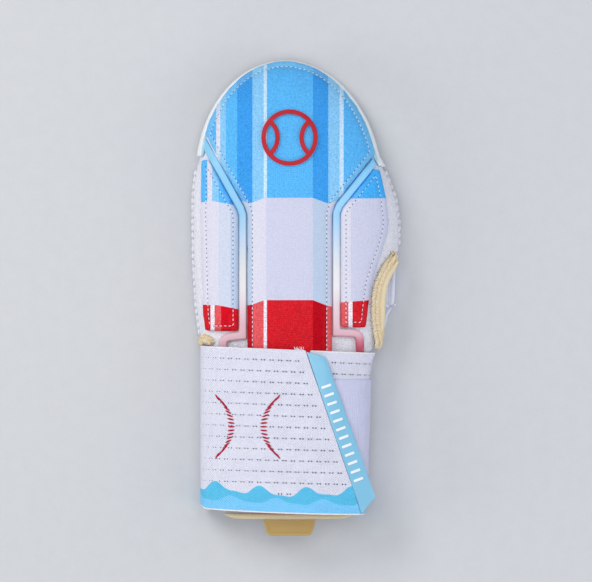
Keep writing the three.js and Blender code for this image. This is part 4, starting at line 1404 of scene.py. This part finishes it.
class Course:
    """The strap's outer face as a grid: rows from the lower rim up, stations from the closing end on."""

    def __init__(self, strap):
        self.grid = self.rows_of(strap)
        self.low, self.top = self.grid[0], self.grid[-1]
        self.run = lengths(self.low[:, ::2])

    @staticmethod
    def outer_run(loop):
        """The longest side of the lower rim's loop, which has four sharp corners."""
        places = np.array([vertex.co for vertex in loop])
        run = np.roll(places, -1, axis=0) - places
        run /= np.linalg.norm(run, axis=1, keepdims=True)
        corners = np.sort(np.argsort(np.sum(run * np.roll(run, 1, axis=0), axis=1))[:4])
        sides = []
        for number, first in enumerate(corners):
            count = (corners[(number + 1) % 4] - first) % len(loop) + 1
            sides.append([loop[(first + step) % len(loop)] for step in range(count)])
        outer = max(sides, key=lambda side: sum((b.co - a.co).length for a, b in zip(side, side[1:])))
        return outer if outer[0].co.x > outer[-1].co.x else outer[::-1]

    @classmethod
    def rows_of(cls, strap):
        bm = bmesh.new()
        bm.from_mesh(strap.data)
        loop = loop_round(bm, Vector((0, -1, 0)), RIM_FACING)
        rows, known = [cls.outer_run(loop)], set(loop)
        while True:
            last, row = rows[-1], []
            for index, vertex in enumerate(last):
                near = known.union(last[max(0, index - 1) : index + 2])
                onward = [v for v in (e.other_vert(vertex) for e in vertex.link_edges) if v not in near]
                onward = [v for v in onward if v.co.y > vertex.co.y + ROW_STEP * MM]
                if onward:
                    row.append(max(onward, key=lambda v: v.co.y))
            if len(row) < len(last):
                break
            known.update(last)
            rows.append(row)
        grid = np.array([[vertex.co for vertex in row] for row in rows])
        bm.free()
        return grid

    def row_line(self, drop):
        """The line on the outer face that keeps a fixed drop below the upper rim."""
        line = []
        for station in range(self.grid.shape[1]):
            column = self.grid[:, station]
            y = max(column[0, 1], column[-1, 1] - drop)
            line.append([np.interp(y, column[:, 1], column[:, i]) for i in range(3)])
        return np.array(line)

    def measure(self, points):
        """How far along the strap each point lies, and how far above its lower and below its upper rim."""
        dense = np.column_stack([self.low[:, ::2], self.run, self.low[:, 1], self.top[:, 1]])
        dense = even_line(dense, OUTLINE_STEP * MM)
        best, y = dense[nearest_of(points[:, ::2], dense[:, :2])], points[:, 1]
        return np.array([best[:, 2], y - best[:, 3], best[:, 4] - y])


PLACES = ("along", "above", "below")


def measured(piece, course):
    """Keeps where each point of a piece lies on the strap, and whether it is on the outside."""
    points = points_of(piece)
    for name, values in zip(PLACES, course.measure(points)):
        write_attribute(piece, name, values)
    out = (points - np.array(STRAP_MIDDLE) * MM) * STRAP_SQUASH
    facing = np.sum(out * normals_of(piece), axis=1) / np.linalg.norm(out, axis=1)
    write_attribute(piece, "outside", np.clip(0.5 + 4 * facing, 0, 1))


WAVES = (
    {"base": 12.4, "rolls": ((2.5, 29.0, 0.4), (0.9, 14.5, 5.1), (0.8, 87.0, 1.0))},
    {"base": 6.6, "rolls": ((1.6, 29.0, 2.6), (0.5, 14.5, 3.2))},
)
WAVE_SHARPNESS = 3.0


def strap_material():
    """Perforated elastic with hemmed edges and a two-tone wave along its lower rim."""
    finish = Finish("strap_elastic")
    n = finish.nodes
    c = colours()
    along, above, below = [n.times(n.attribute(name), 1 / MM) for name in PLACES]

    def wave(plan):
        """One below the wave's line. A roll is a rise, a pitch and a phase."""
        level = plan["base"]
        for rise, pitch, phase in plan["rolls"]:
            turned = n.math("SINE", n.scaled(along, 2 * math.pi / pitch, phase))
            level = n.scaled(turned, rise, level)
        return n.scaled(n.math("SUBTRACT", level, above), WAVE_SHARPNESS, 0.5, clamp=True)

    colour = rgba(c.strap)
    for plan, paint in zip(WAVES, (c.wave_dark, c.wave_light)):
        colour = n.mix(n.times(wave(plan), n.attribute("outside")), colour, rgba(paint))
    hem = n.math("MAXIMUM", n.math("LESS_THAN", above, HEM), n.math("LESS_THAN", below, HEM))
    colour = n.mix(hem, colour, rgba(c.strap_edge))
    height, shade = finish.knit(1.5)
    waves = [n.math("SINE", n.times(part, 2 * math.pi / MESH_PITCH)) for part in (along, above)]
    mesh = n.times(*waves)
    height = n.scaled(mesh, 0.4, height)
    shade = n.scaled(shade, 0.6, n.scaled(mesh, 0.35, 0.2), clamp=True)
    worn = (0.2, linear(190, 186, 190))
    return finish.close(
        colour, (height, shade), roughness=0.85, depth=0.18, spread=0.46, rub=worn, Specular_IOR_Level=0.15
    )


def strap_hole():
    """A hole of the openwork: a low ring with a sunk floor, whose dark colour paints the shade inside the
    hole.
    """
    radius = sizes().hole_radius
    deselect()
    bpy.ops.mesh.primitive_cylinder_add(vertices=8, radius=radius, depth=HOLE_HEIGHT * MM)
    hole = new_piece("strap_hole")
    edit(hole)
    sink_top(hole, HOLE_RIM * radius, HOLE_SLOPE * radius, HOLE_SINK * MM)
    leave_edit()
    shadow = moulded_material("strap_hole_shadow", colours().strap_hole, roughness=0.95)
    dress(hole, bpy.data.materials["strap_elastic"], shadow)
    # The sunk floor takes the dark colour that paints the shade inside the hole.
    for face in hole.data.polygons:
        inside = face.center.to_2d().length < HOLE_FLOOR * radius and face.normal.z > 0.5
        face.material_index = 1 if inside else 0
    return hole


def wave_level(plan, along):
    """Height of a wave's line above the lower rim, in millimetres."""
    level = plan["base"] + np.zeros_like(along)
    for rise, pitch, phase in plan["rolls"]:
        level += rise * np.sin(2 * math.pi * along / pitch + phase)
    return level


def strap_holes(course, strap, covers):
    """Pairs of holes in rows round the strap, left out in the wave and where another layer covers them."""
    s = sizes()
    own, shade = tree_of(strap), tree_of(strap, *covers)
    found = []
    for row in range(HOLE_ROWS):
        line = even_line(course.row_line(FIRST_HOLE_ROW * MM + row * s.hole_row), LINE_STEP * MM)
        run = lengths(line)
        middle = run[np.argmin(line[:, 0])] + (0.5 * s.hole_pitch if row % 2 else 0)
        first = math.ceil((END_MARGIN * MM - middle) / s.hole_pitch)
        last = math.floor((run[-1] - END_MARGIN * MM - middle) / s.hole_pitch)
        for number in range(first, last + 1):
            for half in (-0.5, 0.5):
                along = middle + number * s.hole_pitch + half * s.hole_gap
                place = Vector([np.interp(along, run, column) for column in line.T])
                hit, normal, _, _ = own.find_nearest(place)
                above, _, _, far = shade.ray_cast(hit + normal * HOLE_CLEARANCE * MM, normal)
                if above is None or far > COVER_REACH * MM:
                    found.append((hit, normal))
    along, above, _ = course.measure(np.array([hit for hit, _ in found])) / MM
    level, narrowed = np.array(HOLE_FADE).T
    seats = []
    for (hit, normal), clear in zip(found, above > wave_level(WAVES[0], along) + WAVE_CLEAR):
        if clear:
            # The holes narrow towards the strap's left end, so their painted shade shows less there.
            narrow = np.interp(hit.x / MM, level, narrowed)
            seats.append(seat(hit + normal * HOLE_LIFT * MM, (0, 1, 0), normal) @ Matrix.Scale(narrow, 4))
    holes = scatter(strap_hole(), seats, "wrist_strap_holes")
    measured(holes, course)
    fit(holes)


MOTIF_CENTRE = (-30.0, -80.0)
MOTIF_OFFSET = 33.0
MOTIF_RADIUS = 23.0
MOTIF_REACH = 52
MOTIF_STEPS = 9
MOTIF_THREAD = (4.6, 1.15)
MOTIF_LIFT, MOTIF_FACING = 0.05, 0.4


def strap_motif(strap):
    """Red sewing on the strap: the two curved seams of a ball."""
    tree = tree_of(strap)
    seats = []
    for hand in (-1, 1):
        for number in range(-MOTIF_STEPS, MOTIF_STEPS + 1):
            turn = math.radians(number * MOTIF_REACH / MOTIF_STEPS)
            across = Vector((hand * math.cos(turn), math.sin(turn), 0))
            x = MOTIF_CENTRE[0] + hand * MOTIF_OFFSET - MOTIF_RADIUS * across.x
            y = MOTIF_CENTRE[1] + MOTIF_RADIUS * across.y
            hit, normal = topmost(tree, x * MM, y * MM)
            if hit is not None and normal.z > MOTIF_FACING:
                seats.append(seat(hit + normal * MOTIF_LIFT * MM, across, normal))
    sewing = scatter(thread_dash(*MOTIF_THREAD), seats, "wrist_strap_ball_seam")
    thread = knit_material("motif_thread", colours().motif, pitch=0.4, depth=0.06, rub=None)
    fit(sewing, thread, worn=False)


TUFT_PLACE = (2.0, -31.6)
TUFT_THREADS = 11
TUFT_THREAD = (3.2, 0.3)
TUFT_REACH = 0.91
TUFT_HEIGHT = 50


def strap_tuft(strap):
    """A few frayed ends of thread on the strap's upper rim."""
    chance = np.random.default_rng(SEED)
    tree = tree_of(strap)
    seats = []
    for _ in range(TUFT_THREADS):
        x, y = np.array(TUFT_PLACE) + chance.uniform((-2.6, -0.3), (2.6, 0.5))
        hit, _, _, _ = tree.find_nearest(Vector((x, y, TUFT_HEIGHT)) * MM)
        lean = Vector((chance.uniform(-1.0, 1.0), chance.uniform(0.5, 1.0), chance.uniform(0.0, 0.4)))
        seats.append(seat(hit + lean.normalized() * TUFT_REACH * MM, lean, lean.cross(UP.cross(lean))))
    tuft = scatter(thread_dash(*TUFT_THREAD), seats, "wrist_strap_tuft")
    fit(tuft, thread_material(), worn=False)


def crease_rims(piece):
    """Keeps the sharp rims of a band while it is subdivided."""
    edit(piece)
    bpy.ops.mesh.select_all(action="DESELECT")
    bpy.ops.mesh.select_mode(type="EDGE")
    bpy.ops.mesh.edges_select_sharp(sharpness=math.radians(50))
    bpy.ops.transform.edge_crease(value=0.75)
    leave_edit()


class MITT_OT_strap(bpy.types.Operator):
    """Makes the wrist strap with its openwork, its sewing, the loop pile and the moulded tab"""

    bl_idname = "mitt.add_strap"
    bl_label = "Wrist strap"

    def execute(self, context):
        strap = copy_of("wrist_strap", "wrist_strap_band")
        course = Course(strap)
        crease_rims(strap)
        subdivide(strap, 3)
        points, normals = points_of(strap), normals_of(strap)
        along, above, below = course.measure(points)
        inside = fade(np.minimum(above, below), 0, RIPPLE_RUN * MM)
        ripple = STRAP_RIPPLE * MM * wander(points, STRAP_RIPPLE_PITCH, seed=5) * inside
        points += normals * ripple[:, None]
        measured(strap, course)
        low = fade(above, DROP_REACH * MM, -DROP_REACH * MM)
        bend = fade(points[:, 0] / MM, *BEND)
        points[:, 1] += (BEND_LIFT * bend * bend - STRAP_DROP) * MM * low
        move_points(strap, leaned(points, along > 0.5 * course.run[-1]))
        smooth(strap, 50)
        fit(strap, strap_material(), "wrist_strap")
        patch = loop_patch()
        tab = strap_tab()
        strap_holes(course, strap, (patch, tab))
        strap_motif(strap)
        strap_tuft(strap)
        return {"FINISHED"}


def leaned(points, chosen=True):
    """Draws the strap's start in towards its lower rim, at the thumb's side."""
    x, y, _ = points.T / MM
    points[:, 0] -= START_LEAN * MM * fade(y, *LEAN_DROP) * fade(x, *LEAN_ACROSS) * chosen
    return points


def loop_patch():
    """The brushed pile under the closing tab."""
    patch = copy_of("loop_patch", "loop_patch_pile")
    crease_rims(patch)
    subdivide(patch, 4)
    points, normals = points_of(patch), normals_of(patch)
    chance = np.random.default_rng(SEED)
    pile = chance.uniform(0, PILE_LENGTH * MM, len(points))
    move_points(patch, leaned(points + normals * pile[:, None]))
    smooth(patch)
    loops = knit_material("pile_loops", colours().pile, pitch=0.55, depth=0.22, rub=None, Sheen_Weight=0.2)
    fit(patch, loops, "loop_patch")
    return patch


TAB_RUN = ((12.4, -36.6), (44.0, -128.4))
TAB_RIBS = (0.2, 0.83)
RIB_SIZE = (6.4, 1.7, 1.1)
RIB_ROUNDING = 0.45


def strap_tab():
    """The moulded tab, with grip ribs across it."""
    c = colours()
    tab = copy_of("strap_tab", "strap_tab_mould")
    round_edges(tab, width=0.5)
    worn = (0.4, linear(222, 238, 248))
    plastic = moulded_material("tab_plastic", c.tab_blue, roughness=0.4, rub=worn, Coat_Weight=0.2)
    fit(tab, plastic, "strap_tab")
    tree = tree_of(tab)
    start, end = (Vector((*place, 0)) * MM for place in TAB_RUN)
    run = (end - start).normalized()
    seats = []
    for share in np.linspace(*TAB_RIBS, sizes().rib_count):
        hit, normal = topmost(tree, *start.lerp(end, share).xy)
        if hit is None:
            raise RuntimeError("a grip rib of the strap's tab has nothing under it")
        seats.append(seat(hit, Vector((-run.y, run.x, 0)), normal))
    ribs = scatter(grip_rib(), seats, "strap_tab_ribs")
    fit(ribs, moulded_material("rib_plastic", c.tab_rib, roughness=0.4), worn=False)
    return tab


def grip_rib():
    """One raised rib: a bar with rounded edges."""
    deselect()
    bpy.ops.mesh.primitive_cube_add(size=1)
    rib = new_piece("grip_rib")
    edit(rib)
    bpy.ops.transform.resize(value=[extent * MM for extent in RIB_SIZE])
    bpy.ops.mesh.bevel(offset=RIB_ROUNDING * MM, segments=3, affect="EDGES")
    leave_edit()
    return rib


class MITT_OT_badge(bpy.types.Operator):
    """Makes the raised ball badge on the centre pad"""

    bl_idname = "mitt.add_badge"
    bl_label = "Ball badge"

    def execute(self, context):
        badge = copy_of("badge", "badge_relief")
        round_edges(badge, width=0.35, segments=2)
        worn = (0.3, linear(222, 96, 100))
        rubber = moulded_material(
            "badge_rubber", colours().badge, roughness=0.55, depth=0.06, rub=worn, Specular_IOR_Level=0.25
        )
        fit(badge, rubber, "badge")
        return {"FINISHED"}


CAMERA_HEIGHT = 9.0
VIEW_WIDTH = 0.62 * 592 * MM
VIEW_LEVEL = 30 * MM
VIEW_CENTRE_Y = 4.03 * MM
SENSOR = 36.0
FLOOR_SIZE, FLOOR_LEVEL = 6, -0.4 * MM
WARM, WHITE, COOL = (1.0, 0.985, 0.96), (1.0, 1.0, 1.0), (0.92, 0.95, 1.0)
LIGHTS = (
    ("key", (-0.75, 0.75, 1.15), 0.7, 7.6, WARM),
    ("fill", (0.9, -0.5, 1.0), 1.0, 3.5, COOL),
    ("top", (0.0, 0.1, 1.6), 1.0, 7.0, WHITE),
    ("left", (-1.25, -0.15, 0.5), 0.8, 4.8, WARM),
    ("side", (1.2, 0.1, 0.55), 0.8, 2.8, COOL),
    ("wrist", (0.0, -1.3, 0.6), 0.8, 2.2, WHITE),
)
SKY = ((0.93, 0.96, 1.0, 1.0), 0.32)


class MITT_OT_stage(bpy.types.Operator):
    """Sets the pale floor, the soft studio light and the camera straight above the mitt"""

    bl_idname = "mitt.add_stage"
    bl_label = "Stage"

    def execute(self, context):
        deselect()
        bpy.ops.mesh.primitive_plane_add(size=FLOOR_SIZE, location=(0, 0, FLOOR_LEVEL))
        floor = new_piece("floor")
        bpy.ops.object.transform_apply(location=True, rotation=True, scale=True)
        dress(floor, moulded_material("floor_paper", colours().floor, roughness=0.9, depth=0.02, scale=700.0))
        scene = context.scene
        for name, place, spread, power, colour in LIGHTS:
            light = bpy.data.lights.new(name, "AREA")
            light.shape = "DISK"
            light.size = spread
            light.energy = power
            light.color = colour
            lamp = bpy.data.objects.new(name, light)
            lamp.location = place
            lamp.rotation_euler = (-Vector(place)).to_track_quat("-Z", "Y").to_euler()
            scene.collection.objects.link(lamp)
        world = bpy.data.worlds.new("studio")
        world.use_nodes = True
        sky = world.node_tree.nodes["Background"]
        sky.inputs["Color"].default_value, sky.inputs["Strength"].default_value = SKY
        scene.world = world
        scene.view_settings.view_transform = "Standard"
        lens = bpy.data.cameras.new("photo_camera")
        lens.sensor_width = SENSOR
        lens.lens = SENSOR * (CAMERA_HEIGHT - VIEW_LEVEL) / VIEW_WIDTH
        lens.clip_end = 20
        camera = bpy.data.objects.new("photo_camera", lens)
        camera.location = (0, VIEW_CENTRE_Y, CAMERA_HEIGHT)
        scene.collection.objects.link(camera)
        scene.camera = camera
        return {"FINISHED"}


OPERATORS = (
    MITT_OT_stage, MITT_OT_palm, MITT_OT_shell, MITT_OT_pads, MITT_OT_piping, MITT_OT_guard,
    MITT_OT_bindings, MITT_OT_rim, MITT_OT_strap, MITT_OT_badge,
)


class MITT_PT_panel(bpy.types.Panel):
    """Lists the mitt's pieces and its sizes and colours"""

    bl_idname = "MITT_PT_panel"
    bl_label = "Sliding mitt"
    bl_space_type = "VIEW_3D"
    bl_region_type = "UI"
    bl_category = "Mitt"

    def draw(self, context):
        for operator in OPERATORS:
            self.layout.operator(operator.bl_idname)
        for group in (context.scene.mitt_sizes, context.scene.mitt_colours):
            box = self.layout.box()
            for name in group.__annotations__:
                box.prop(group, name)


CLASSES = (MittSizes, MittColours, *OPERATORS, MITT_PT_panel)


def register():
    for kind in CLASSES:
        bpy.utils.register_class(kind)
    bpy.types.Scene.mitt_sizes = PointerProperty(type=MittSizes)
    bpy.types.Scene.mitt_colours = PointerProperty(type=MittColours)


def unregister():
    del bpy.types.Scene.mitt_colours
    del bpy.types.Scene.mitt_sizes
    for kind in reversed(CLASSES):
        bpy.utils.unregister_class(kind)


def main():
    register()
    for operator in OPERATORS:
        family, name = operator.bl_idname.split(".")
        getattr(getattr(bpy.ops, family), name)()
    deselect()


if __name__ == "__main__":
    main()
